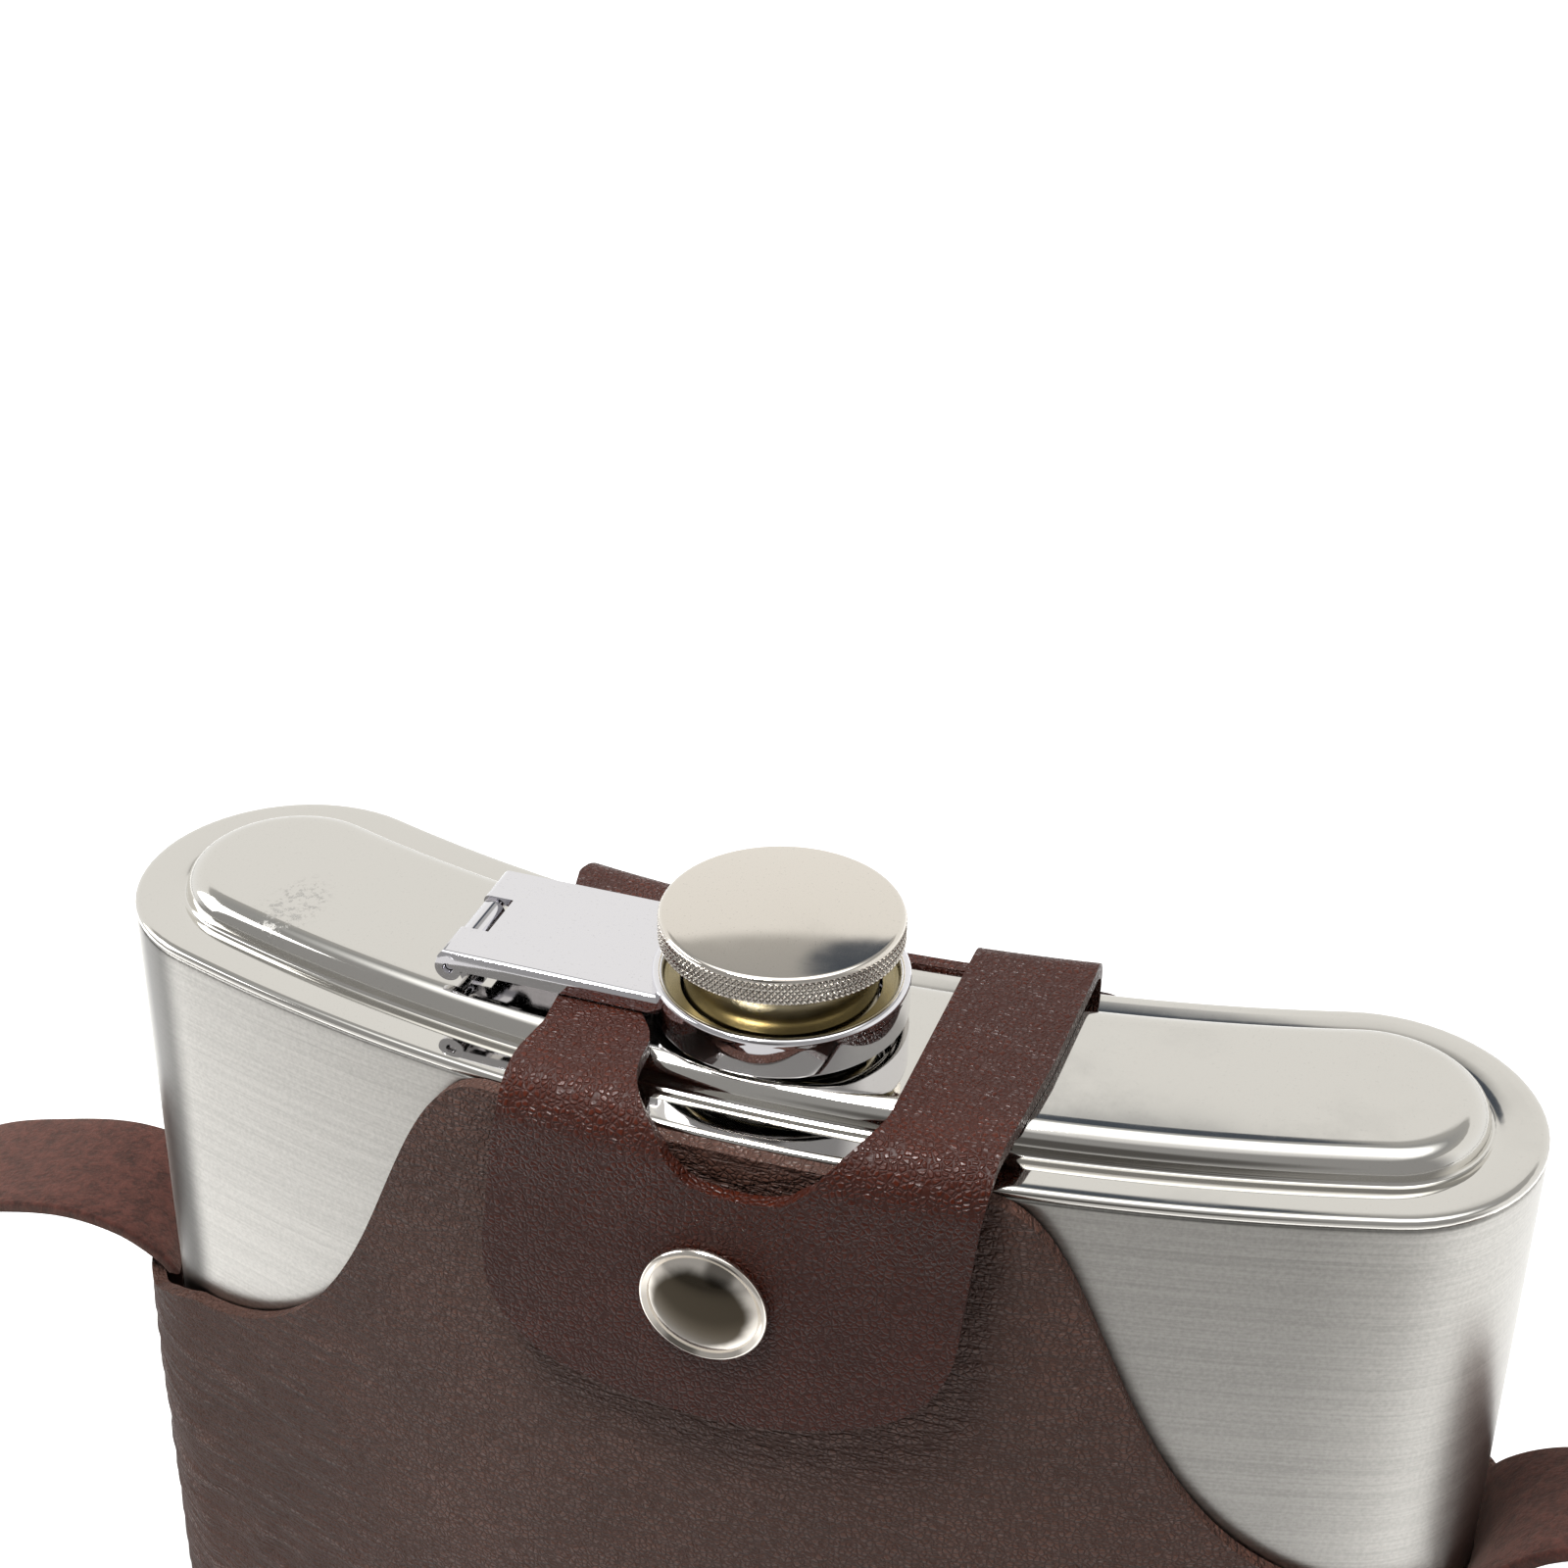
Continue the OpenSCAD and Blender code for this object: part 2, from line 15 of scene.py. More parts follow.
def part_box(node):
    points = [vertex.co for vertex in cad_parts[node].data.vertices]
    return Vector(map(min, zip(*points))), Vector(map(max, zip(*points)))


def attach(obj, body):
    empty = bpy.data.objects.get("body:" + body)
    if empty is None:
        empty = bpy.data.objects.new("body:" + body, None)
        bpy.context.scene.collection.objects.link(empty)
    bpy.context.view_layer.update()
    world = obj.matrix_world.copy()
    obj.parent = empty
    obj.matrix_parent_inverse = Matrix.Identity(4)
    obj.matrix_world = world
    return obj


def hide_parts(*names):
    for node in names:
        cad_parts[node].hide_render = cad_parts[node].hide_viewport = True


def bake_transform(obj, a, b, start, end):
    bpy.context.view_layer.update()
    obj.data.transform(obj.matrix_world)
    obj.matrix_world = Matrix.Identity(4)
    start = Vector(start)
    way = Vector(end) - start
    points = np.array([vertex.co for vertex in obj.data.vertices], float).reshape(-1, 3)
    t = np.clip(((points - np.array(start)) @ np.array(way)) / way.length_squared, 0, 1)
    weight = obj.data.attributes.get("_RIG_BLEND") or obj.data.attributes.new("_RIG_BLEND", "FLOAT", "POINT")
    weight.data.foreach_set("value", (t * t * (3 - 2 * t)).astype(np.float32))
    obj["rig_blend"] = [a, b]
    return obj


bl_info = {
    "name": "Canteen",
    "version": (1, 0, 0),
    "blender": (4, 5, 0),
    "location": "View3D > Sidebar > Canteen",
    "description": "Builds a curved steel canteen in its leather sleeve",
    "category": "Add Mesh",
}

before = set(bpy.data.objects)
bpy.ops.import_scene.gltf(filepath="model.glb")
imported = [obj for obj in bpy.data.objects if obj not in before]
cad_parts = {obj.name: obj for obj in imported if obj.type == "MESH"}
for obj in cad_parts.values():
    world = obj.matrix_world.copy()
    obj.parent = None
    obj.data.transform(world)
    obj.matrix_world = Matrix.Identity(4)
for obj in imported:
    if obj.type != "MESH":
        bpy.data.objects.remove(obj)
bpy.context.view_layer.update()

MM = 0.001
WALL_LOW, WALL_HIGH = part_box("flask_wall")
SEAM = WALL_HIGH[2] / MM
FOOT = WALL_LOW[2] / MM
FIT = 0.1
TAIL_GAP = 2.0
REACH = 3.0
PANEL_ANGLE = math.radians(17)
TAIL_ANGLE = math.radians(14.2)
NECK = (0.6, 1.5)
PIN = (-36.5, 2.0, SEAM + 6.6)
SNAP = (1.1, SEAM - 17.4)
RIVETS = (SEAM - 84, SEAM - 66)
ARC_STEPS, END_STEPS = 72, 32
LOOP = 2 * (ARC_STEPS + END_STEPS)

# Middle line of the free strap: x, y, z, then the direction of its width
STRAP_ROUTE = (
    (-86, 10, 108.6, 0, 1, 0), (-87.6, 10, 110.8, 0, 1, 0), (-92.4, 10, 113.4, 0, 1, 0),
    (-100.5, 10, 114, 0, 1, 0), (-111, 10, 111.8, 0, 1, 0), (-124, 10, 107, 0, 1, 0),
    (-138, 9, 97, 0, 1, 0), (-148, 7, 80, 0, 1, 0), (-152, 6, 59, 0, 1, 0),
    (-153, 5, 38, 0, 1, 0.3), (-148, 5, 19, 0, 0.6, 0.8), (-136, 7, 10.6, 0, 0, 1),
    (-119, 12, 10.2, 0, 0, 1), (-102, 25, 10.2, 0, 0, 1), (-91, 50, 10.2, 0, 0, 1),
    (-86, 82, 10.2, 0, 0, 1), (-84, 114, 10.2, 0, 0, 1), (-73, 142, 10.2, 0, 0, 1),
    (-48, 159, 10.2, 0, 0, 1), (-5, 165, 10.2, 0, 0, 1), (38, 162, 10.2, 0, 0, 1),
    (66, 150, 10.2, 0, 0, 1), (73, 131, 10.2, 0, 0, 1), (62, 113, 10.2, 0, 0, 1),
    (36, 104, 10.2, 0, 0, 1), (0, 102, 10.2, 0, 0, 1), (-36, 97, 10.2, 0, 0, 1),
    (-54, 83, 10.2, 0, 0, 1), (-54, 64, 10.2, 0, 0, 1), (-36, 51, 10.2, 0, 0, 1),
    (10, 46, 10.2, 0, 0, 1), (68, 47, 10.2, 0, 0, 1), (104, 42, 10.2, 0, 0, 1),
    (128, 27, 10.6, 0, 0, 1), (143, 14, 20, 0, 0.6, 0.8), (150, 9, 44, 0, 1, 0.2),
    (149, 8, 70, 0, 1, 0), (141, 10, 92, 0, 1, -0.1), (128, 10, 108, 0, 1, -0.15),
    (114, 10, 117.5, 0, 1, -0.15), (102, 10, 120.6, 0, 1, -0.15), (94, 10, 118.8, 0, 1, -0.1),
    (88.6, 10, 114.2, 0, 1, 0), (86, 10, 108.6, 0, 1, 0),
)


# ---- What a user would change ----


def length(name, description, default):
    return FloatProperty(name=name, description=description, default=default, unit="LENGTH")


def colour(name, description, default):
    return FloatVectorProperty(
        name=name, description=description, default=(*default, 1), size=4, subtype="COLOR",
        min=0, max=1,
    )


class CanteenFlask(bpy.types.PropertyGroup):
    """Sizes of the steel flask and its cap"""

    width: length("Width", "Width across the steel flask", 0.170)
    depth: length("Depth", "Depth of the steel flask, front to back", 0.038)
    bend: length("Bend radius", "Radius that the flask is bent to, at mid depth", 0.2195)
    sheet: length("Sheet", "Thickness of the steel sheet", 0.0008)
    lid_top: length("Raised top", "Height of the lid's raised top above the seam", 0.0042)
    lid_inset: length("Raised top inset", "Distance from the rim in to the raised top", 0.0061)
    shoulder: length("Shoulder radius", "Radius of the raised top's shoulder", 0.0027)
    head: length("Cap radius", "Radius over the cap's knurling", 0.0138)
    dome: length("Cap dome", "Rise of the cap's top", 0.0006)
    teeth: IntProperty(
        name="Knurl teeth", description="Diamonds round the cap", default=124, min=60, max=160
    )
    ring: length("Ring radius", "Outer radius of the arm's ring", 0.0145)
    arm: length("Arm width", "Width of the hinged arm", 0.0185)


class CanteenLeather(bpy.types.PropertyGroup):
    """Sizes of the leather sleeve and strap"""

    thickness: length("Thickness", "Thickness of the leather", 0.0018)
    rim_drop: length("Corner depth", "Depth of the sleeve's rim at its front corners", 0.0525)
    end_drop: length("End depth", "Depth of the sleeve's rim round its ends", 0.0585)
    strap: length("Strap width", "Width of the shoulder strap", 0.020)
    snap: length("Snap radius", "Radius of the snap's dome", 0.0075)
    stitch: length("Stitch", "Length of one stitch", 0.003)


class CanteenColours(bpy.types.PropertyGroup):
    """Colours of the finishes"""

    steel: colour("Steel", "Brushed and polished steel", (0.70, 0.685, 0.65))
    chrome: colour("Chrome", "Plated arm and ring", (0.83, 0.825, 0.86))
    nickel: colour("Nickel", "Plated cap and snap", (0.80, 0.755, 0.69))
    brass: colour("Skirt", "Bare metal of the cap's skirt", (0.37, 0.32, 0.20))
    flap: colour("Flap leather", "Grain side of the flap", (0.046, 0.0082, 0.0032))
    sleeve: colour("Sleeve leather", "Grain side of the sleeve", (0.080, 0.0345, 0.0235))
    suede: colour("Suede", "Flesh side of the leather", (0.040, 0.0125, 0.0092))
    thread: colour("Thread", "Stitches", (0.075, 0.035, 0.025))


# ---- Making a mesh ----


def pick_nothing():
    if bpy.context.object and bpy.context.object.mode != "OBJECT":
        bpy.ops.object.mode_set(mode="OBJECT")
    bpy.ops.object.select_all(action="DESELECT")


def pick(piece):
    pick_nothing()
    piece.select_set(True)
    bpy.context.view_layer.objects.active = piece


def at(x, y, z):
    return Vector((x * MM, y * MM, z * MM))


def modified(piece, kind, **settings):
    """Adds a modifier and applies it"""
    pick(piece)
    bpy.ops.object.modifier_add(type=kind)
    modifier = piece.modifiers[-1]
    for key, value in settings.items():
        setattr(modifier, key, value)
    bpy.ops.object.modifier_apply(modifier=modifier.name)


def closed_up(piece, outward=True):
    """Merges doubles and turns the faces outward"""
    pick(piece)
    bpy.ops.object.mode_set(mode="EDIT")
    bpy.ops.mesh.select_all(action="SELECT")
    bpy.ops.mesh.remove_doubles(threshold=2e-6)
    if outward:
        bpy.ops.mesh.normals_make_consistent(inside=False)
    bpy.ops.object.mode_set(mode="OBJECT")


def smoothed(piece, degrees=35):
    pick(piece)
    bpy.ops.object.shade_smooth_by_angle(angle=math.radians(degrees))


def lofted(count, rows, place):
    """A loop of `count` points, extruded for each further row; place(k, row) is in millimetres"""
    pick_nothing()
    bpy.ops.mesh.primitive_circle_add(vertices=count, radius=MM)
    piece = bpy.context.object
    bpy.ops.object.mode_set(mode="EDIT")
    bm = bmesh.from_edit_mesh(piece.data)
    station = bm.verts.layers.int.new("station")
    for k, vert in enumerate(bm.verts):
        vert[station] = k
        vert.co = at(*place(k, 0))
    bmesh.update_edit_mesh(piece.data)
    bpy.ops.mesh.select_all(action="SELECT")
    for row in range(1, rows):
        bpy.ops.mesh.extrude_region_move()
        bm = bmesh.from_edit_mesh(piece.data)
        station = bm.verts.layers.int["station"]
        for vert in bm.verts:
            if vert.select:
                vert.co = at(*place(vert[station], row))
        bmesh.update_edit_mesh(piece.data)
    bpy.ops.object.mode_set(mode="OBJECT")
    return piece


def spun(profile, steps, open_ends=False):
    """Turns a profile of (radius, height) about Z; open_ends leaves its last side out"""
    pick_nothing()
    bpy.ops.mesh.primitive_circle_add(vertices=len(profile), radius=MM)
    piece = bpy.context.object
    for vert, (radius, height) in zip(piece.data.vertices, profile):
        vert.co = at(radius, 0, height)
    bpy.ops.object.mode_set(mode="EDIT")
    bm = bmesh.from_edit_mesh(piece.data)
    if open_ends:
        bm.verts.ensure_lookup_table()
        last = [e for e in bm.edges if {v.index for v in e.verts} == {0, len(profile) - 1}]
        bmesh.ops.delete(bm, geom=last, context="EDGES_FACES")
        bmesh.update_edit_mesh(piece.data)
    bpy.ops.mesh.select_all(action="SELECT")
    bpy.ops.mesh.spin(steps=steps, angle=2 * math.pi, center=(0, 0, 0), axis=(0, 0, 1))
    closed_up(piece)
    return piece


def arc(centre_r, centre_h, radius, start, finish, steps):
    """Points of a profile's round part, between two angles in degrees"""
    turns = (math.radians(start + (finish - start) * i / steps) for i in range(steps + 1))
    return [(centre_r + radius * math.cos(a), centre_h + radius * math.sin(a)) for a in turns]


def placed(piece, matrix):
    piece.data.transform(matrix)
    if matrix.determinant() < 0:
        piece.data.flip_normals()
    piece.data.update()


def turned_to(axis, point):
    """A matrix that stands local Z on an axis, at a point in millimetres"""
    turn = Vector((0, 0, 1)).rotation_difference(Vector(axis)).to_matrix().to_4x4()
    return Matrix.Translation(at(*point)) @ turn


def gridded(columns, rows, place):
    """A grid whose points place(u, v) sets, u and v from 0 to 1, in millimetres"""
    pick_nothing()
    bpy.ops.mesh.primitive_grid_add(x_subdivisions=columns, y_subdivisions=rows, size=2)
    piece = bpy.context.object
    for vert in piece.data.vertices:
        vert.co = at(*place((vert.co.x + 1) / 2, (vert.co.y + 1) / 2))
    return piece


def finished(piece, name, body, materials, stands_for=()):
    """Names a piece, gives it its finishes and puts it on its body"""
    piece.name = piece.data.name = name
    layers = [a.name for a in piece.data.attributes if a.name == "station"]
    for layer in layers:
        piece.data.attributes.remove(piece.data.attributes[layer])
    piece.data.materials.clear()
    for material in materials:
        piece.data.materials.append(material)
    if body:
        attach(piece, body)
    if stands_for:
        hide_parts(*stands_for)
    pick_nothing()
    return piece


def paint(piece, index, chosen):
    """Gives a finish to the faces whose centre, in millimetres, and normal are chosen"""
    for face in piece.data.polygons:
        if chosen(face.center / MM, face.normal):
            face.material_index = index


def bezier(a, b, c, d, steps=12):
    """Points of a curve, without its last one"""
    points = []
    for i in range(steps):
        t = i / steps
        s = 1 - t
        points.append(tuple(
            s**3 * a[n] + 3 * s * s * t * b[n] + 3 * s * t * t * c[n] + t**3 * d[n]
            for n in range(2)
        ))
    return points


# ---- Lines of the flask ----


def flask():
    """Bend radius, half depth and end angle, in millimetres and radians"""
    sizes = bpy.context.scene.canteen_flask
    bend, half = sizes.bend / MM, sizes.depth / MM / 2
    return bend, half, math.asin((sizes.width / MM / 2 - half) / bend)


def polar(radius, angle):
    bend = bpy.context.scene.canteen_flask.bend / MM
    return radius * math.sin(angle), bend - radius * math.cos(angle)


def kidney(k, front=0.0, back=0.0, ends=0.0):
    """Point k of the flask's plan, grown by front and back; k runs front, right, back, left"""
    bend, half, end_angle = flask()
    outer, inner = bend + half + front, bend - half - back
    middle, tip = (outer + inner) / 2, (outer - inner) / 2
    turn = end_angle + ends / bend
    k %= LOOP
    side = 1 if k < LOOP / 2 else -1
    step = k % (LOOP / 2)
    if step < ARC_STEPS:
        angle = side * turn * (2 * step / ARC_STEPS - 1)
        return polar(outer if side > 0 else inner, angle)
    swing = math.pi * (step - ARC_STEPS) / END_STEPS
    x, y = polar(middle, side * turn)
    dx, dy = math.sin(turn), -side * math.cos(turn)
    return (
        x + tip * (dx * math.cos(swing) - dy * math.sin(swing)),
        y + tip * (dx * math.sin(swing) + dy * math.cos(swing)),
    )


def rings(profile, front=0.0, back=0.0, ends=0.0):
    """The loft of the flask's plan through (inset, height) pairs"""
    def place(k, row):
        inset, height = profile[row]
        return (*kidney(k, front - inset, back - inset, ends), height)
    return lofted(LOOP, len(profile), place)


# ---- Finishes ----


def add(tree, kind, inputs=None, **settings):
    """Adds a node; inputs maps a socket's name or number to a value or to an output"""
    node = tree.nodes.new("ShaderNode" + kind)
    for key, value in settings.items():
        setattr(node, key, value)
    for key, value in (inputs or {}).items():
        if isinstance(value, bpy.types.NodeSocket):
            tree.links.new(value, node.inputs[key])
        else:
            node.inputs[key].default_value = value
    return node


def scaled(tree, vector, scale, location=(0, 0, 0)):
    node = add(tree, "Mapping", {"Vector": vector, "Scale": scale, "Location": location})
    return node.outputs[0]


def speckle(tree, vector, scale, detail=3.0, roughness=0.55):
    node = add(tree, "TexNoise", {
        "Vector": vector, "Scale": scale, "Detail": detail, "Roughness": roughness,
    })
    return node.outputs["Fac"]


def spread(tree, value, low, high, new_low=0.0, new_high=1.0):
    node = add(tree, "MapRange", {
        "Value": value, "From Min": low, "From Max": high, "To Min": new_low, "To Max": new_high,
    }, interpolation_type="SMOOTHSTEP")
    return node.outputs[0]


def sum_of(tree, a, b, operation="ADD", c=0.0):
    node = add(tree, "Math", {0: a, 1: b, 2: c}, operation=operation)
    return node.outputs[0]


def mixed(tree, factor, a, b):
    node = add(tree, "Mix", {0: factor, 6: a, 7: b}, data_type="RGBA")
    return node.outputs[2]


def group(name, inputs, outputs, build):
    """A node group; build(tree, ins) returns the sockets of its outputs, by name"""
    tree = bpy.data.node_groups.get(name)
    if tree:
        return tree
    tree = bpy.data.node_groups.new(name, "ShaderNodeTree")
    for key, kind, default in inputs:
        socket = tree.interface.new_socket(key, in_out="INPUT", socket_type=kind)
        if default is not None:
            socket.default_value = default
    for key, kind in outputs:
        tree.interface.new_socket(key, in_out="OUTPUT", socket_type=kind)
    entry = tree.nodes.new("NodeGroupInput")
    leave = tree.nodes.new("NodeGroupOutput")
    for key, socket in build(tree, entry.outputs).items():
        tree.links.new(socket, leave.inputs[key])
    return tree


def grouped(tree, group_tree, inputs):
    node = tree.nodes.new("ShaderNodeGroup")
    node.node_tree = group_tree
    for key, value in inputs.items():
        if isinstance(value, bpy.types.NodeSocket):
            tree.links.new(value, node.inputs[key])
        else:
            node.inputs[key].default_value = value
    return node.outputs


VECTOR, NUMBER = "NodeSocketVector", "NodeSocketFloat"


def leather_grain():
    """Pebbles and fine creases; Wrinkle deepens the creases and Folds adds larger ones"""
    def build(tree, ins):
        wobble = add(tree, "TexNoise", {"Vector": ins["Vector"], "Scale": 900.0, "Detail": 1.0})
        shift = add(tree, "VectorMath", {0: wobble.outputs["Color"], 1: (0.0005, 0.0005, 0.0005)},
                    operation="MULTIPLY")
        moved = add(tree, "VectorMath", {0: ins["Vector"], 1: shift.outputs[0]}, operation="ADD")
        cells = add(tree, "TexVoronoi", {"Vector": moved.outputs[0], "Scale": ins["Pebbles"]},
                    feature="DISTANCE_TO_EDGE")
        pebble = spread(tree, cells.outputs["Distance"], 0.0, 0.28)
        fine = speckle(tree, ins["Vector"], 5200.0, 2.0)
        turned = add(tree, "Mapping", {"Vector": ins["Vector"], "Rotation": (0, 0.75, 0),
                                       "Scale": (48, 70, 300)}).outputs[0]
        drawn = speckle(tree, turned, 1.0, 4.0, 0.6)
        deep = sum_of(tree, sum_of(tree, drawn, 0.5, "SUBTRACT"), 0.0, "ABSOLUTE")
        fold = spread(tree, deep, 0.0, 0.15)
        lines = speckle(tree, scaled(tree, ins["Vector"], (150, 150, 620)), 1.0, 3.0)
        ridge = sum_of(tree, sum_of(tree, lines, 0.5, "SUBTRACT"), 0.0, "ABSOLUTE")
        crease = spread(tree, ridge, 0.0, 0.09)
        height = sum_of(tree, pebble, 0.6, "MULTIPLY_ADD", sum_of(tree, fine, 0.05, "MULTIPLY"))
        height = sum_of(tree, crease, ins["Wrinkle"], "MULTIPLY_ADD", height)
        height = sum_of(tree, fold, ins["Folds"], "MULTIPLY_ADD", height)
        tone = speckle(tree, ins["Vector"], 55.0, 4.0)
        # Valley is low between the pebbles, in the creases and in the larger folds; it darkens the colour
        # there as painted shade, and sets the roughness
        shut = sum_of(tree, fold, sum_of(tree, ins["Folds"], -0.3, "MULTIPLY_ADD", 1.0), "MAXIMUM")
        valley = sum_of(tree, crease, 0.5, "MULTIPLY_ADD", 0.5)
        valley = sum_of(tree, pebble, sum_of(tree, valley, shut, "MULTIPLY"), "MULTIPLY")
        return {"Height": height, "Valley": valley, "Tone": spread(tree, tone, 0.3, 0.7)}
    return group(
        "leather_grain",
        [("Vector", VECTOR, None), ("Pebbles", NUMBER, 2000.0), ("Wrinkle", NUMBER, 0.3),
         ("Folds", NUMBER, 0.0)],
        [("Height", NUMBER), ("Valley", NUMBER), ("Tone", NUMBER)],
        build,
    )


def metal_marks():
    """Faint smears and hairlines on polished metal"""
    def build(tree, ins):
        smear = spread(tree, speckle(tree, ins["Vector"], 90.0, 5.0, 0.62), 0.42, 0.72)
        hair = speckle(tree, scaled(tree, ins["Vector"], (2600, 160, 400)), 1.0, 2.0)
        dust = spread(tree, speckle(tree, ins["Vector"], 3400.0, 1.0), 0.66, 0.74)
        wave = speckle(tree, ins["Vector"], 26.0, 1.0)
        return {"Smear": smear, "Hairline": hair, "Dust": dust, "Wave": wave}
    return group(
        "metal_marks", [("Vector", VECTOR, None)],
        [("Smear", NUMBER), ("Hairline", NUMBER), ("Dust", NUMBER), ("Wave", NUMBER)], build,
    )


def finish(name, build):
    """A material; build(tree, shader, coordinates) wires its Principled shader"""
    material = bpy.data.materials.get(name)
    if material:
        return material
    material = bpy.data.materials.new(name)
    material.use_nodes = True
    tree = material.node_tree
    shader = tree.nodes["Principled BSDF"]
    place = add(tree, "TexCoord").outputs["Object"]
    build(tree, shader, place)
    return material


def plug(tree, shader, **values):
    """Sets or wires the shader's sockets; Base_Color is Base Color"""
    for key, value in values.items():
        socket = shader.inputs[key.replace("_", " ")]
        if isinstance(value, bpy.types.NodeSocket):
            tree.links.new(value, socket)
        else:
            socket.default_value = value


def bumped(tree, height, strength, distance):
    node = add(tree, "Bump", {"Height": height, "Strength": strength, "Distance": distance})
    return node.outputs[0]


def tints():
    return bpy.context.scene.canteen_colours


def dimmed(tint, amount):
    return (tint[0] * amount, tint[1] * amount, tint[2] * amount, 1)


def wall_shade(tree, place):
    """Factor painted on the wall by place along x, a painted reflection: darker towards the right, lighter
    again at the right end and dark in a band near the left end; it stands in for dark surroundings
    """
    x = add(tree, "SeparateXYZ", {0: place}).outputs["X"]
    across = spread(tree, x, -0.045, 0.045, 1.02, 0.70)
    right_column = spread(tree, x, 0.062, 0.077, 0.0, 0.28)
    from_band = sum_of(tree, sum_of(tree, x, 0.0765, "ADD"), 0.0, "ABSOLUTE")
    left_band = spread(tree, from_band, 0.0012, 0.0050, 0.30, 1.0)
    return sum_of(tree, sum_of(tree, right_column, across, "ADD"), left_band, "MULTIPLY")


def brushed_steel():
    """Satin steel brushed round the wall; part of its shading is painted"""
    tint = tints().steel

    def build(tree, shader, place):
        streak = speckle(tree, scaled(tree, place, (22, 22, 2600)), 1.0, 4.0, 0.7)
        broad = speckle(tree, scaled(tree, place, (9, 9, 420)), 1.0, 2.0)
        grains = speckle(tree, place, 2300.0, 2.0)
        lines = sum_of(tree, streak, 0.55, "MULTIPLY_ADD",
                       sum_of(tree, broad, 0.05, "MULTIPLY_ADD",
                              sum_of(tree, grains, 0.4, "MULTIPLY")))
        # painted reflection: the brushed tone is scaled by the wall_shade factor along x
        metal = add(tree, "VectorMath", {
            0: mixed(tree, spread(tree, lines, 0.3, 0.7), dimmed(tint, 0.60), dimmed(tint, 0.82)),
            "Scale": wall_shade(tree, place),
        }, operation="SCALE").outputs["Vector"]
        tangent = add(tree, "Tangent", direction_type="RADIAL", axis="Z")
        plug(
            tree, shader, Metallic=1.0, Anisotropic=0.6, Tangent=tangent.outputs[0],
            Base_Color=metal,
            Roughness=spread(tree, lines, 0.25, 0.75, 0.29, 0.35),
            Normal=bumped(tree, sum_of(tree, grains, 0.6, "MULTIPLY_ADD", lines), 0.3, 0.00003),
        )
    return finish("brushed_steel_finish", build)


def polished_steel():
    tint = tints().steel

    def build(tree, shader, place):
        marks = grouped(tree, metal_marks(), {"Vector": place})
        spot = add(tree, "VectorMath", {0: place, 1: at(-60.8, 1.3, SEAM + 4.2)},
                   operation="SUBTRACT")
        stretched = scaled(tree, spot.outputs[0], (1.0, 0.55, 1.0))
        far = add(tree, "VectorMath", {0: stretched}, operation="LENGTH").outputs["Value"]
        patch = spread(tree, far, 0.0045, 0.001)
        dabs = spread(tree, speckle(tree, place, 900.0, 6.0, 0.75), 0.50, 0.60)
        smudge = sum_of(tree, patch, dabs, "MULTIPLY")
        rough = sum_of(tree, marks["Smear"], 0.05, "MULTIPLY_ADD",
                       sum_of(tree, smudge, 0.45, "MULTIPLY_ADD", 0.045))
        base = mixed(tree, sum_of(tree, smudge, 0.65, "MULTIPLY"), dimmed(tint, 1.06),
                     dimmed(tint, 0.42))
        base = mixed(tree, sum_of(tree, marks["Dust"], 0.25, "MULTIPLY"), base,
                     dimmed(tint, 0.8))
        height = sum_of(tree, marks["Hairline"], 0.02, "MULTIPLY_ADD", marks["Wave"])
        plug(tree, shader, Metallic=1.0, Base_Color=base, Roughness=rough,
             Normal=bumped(tree, height, 0.12, 0.00018))
    return finish("polished_steel_finish", build)


def plated(name, tint, roughness, wave=0.08, shade=1.0):
    """Plated metal: nearly a mirror, with smears and specks"""
    def build(tree, shader, place):
        marks = grouped(tree, metal_marks(), {"Vector": place})
        rough = sum_of(tree, marks["Smear"], 0.05, "MULTIPLY_ADD", roughness)
        base = mixed(tree, sum_of(tree, marks["Dust"], 0.35, "MULTIPLY"), dimmed(tint, shade),
                     dimmed(tint, 0.7 * shade))
        plug(tree, shader, Metallic=1.0, Base_Color=base, Roughness=rough,
             Normal=bumped(tree, marks["Wave"], wave, 0.0002))
    return finish(name, build)


def leather(name, tint, pebbles, wrinkle, shine, depth, folds=0.0, polish=0.0, gloss=0.27):
    """The grain side: pebbled, creased at the left end, and glossier up at the fold"""
    def build(tree, shader, place):
        parts = add(tree, "SeparateXYZ", {0: place}).outputs
        left = spread(tree, parts["X"], -0.030, -0.066)
        grain = grouped(tree, leather_grain(), {
            "Vector": place, "Pebbles": pebbles, "Wrinkle": wrinkle,
            "Folds": sum_of(tree, left, folds, "MULTIPLY"),
        })
        base = mixed(tree, grain["Tone"], dimmed(tint, 0.82), dimmed(tint, 1.22))
        # painted shade: the colour darkens to half in the valleys between pebbles and in the creases
        base = mixed(tree, sum_of(tree, grain["Valley"], 0.8, "MULTIPLY_ADD", 0.2),
                     dimmed(tint, 0.5), base)
        rough = spread(tree, grain["Valley"], 0.0, 1.0, shine + 0.25, shine)
        at_fold = spread(tree, parts["Z"], (SEAM - 12) * MM, (SEAM - 4) * MM, 0.0, -polish)
        plug(tree, shader, Base_Color=base, Roughness=sum_of(tree, rough, at_fold, "ADD"),
             Specular_IOR_Level=gloss, Normal=bumped(tree, grain["Height"], 1.0, depth))
    return finish(name, build)


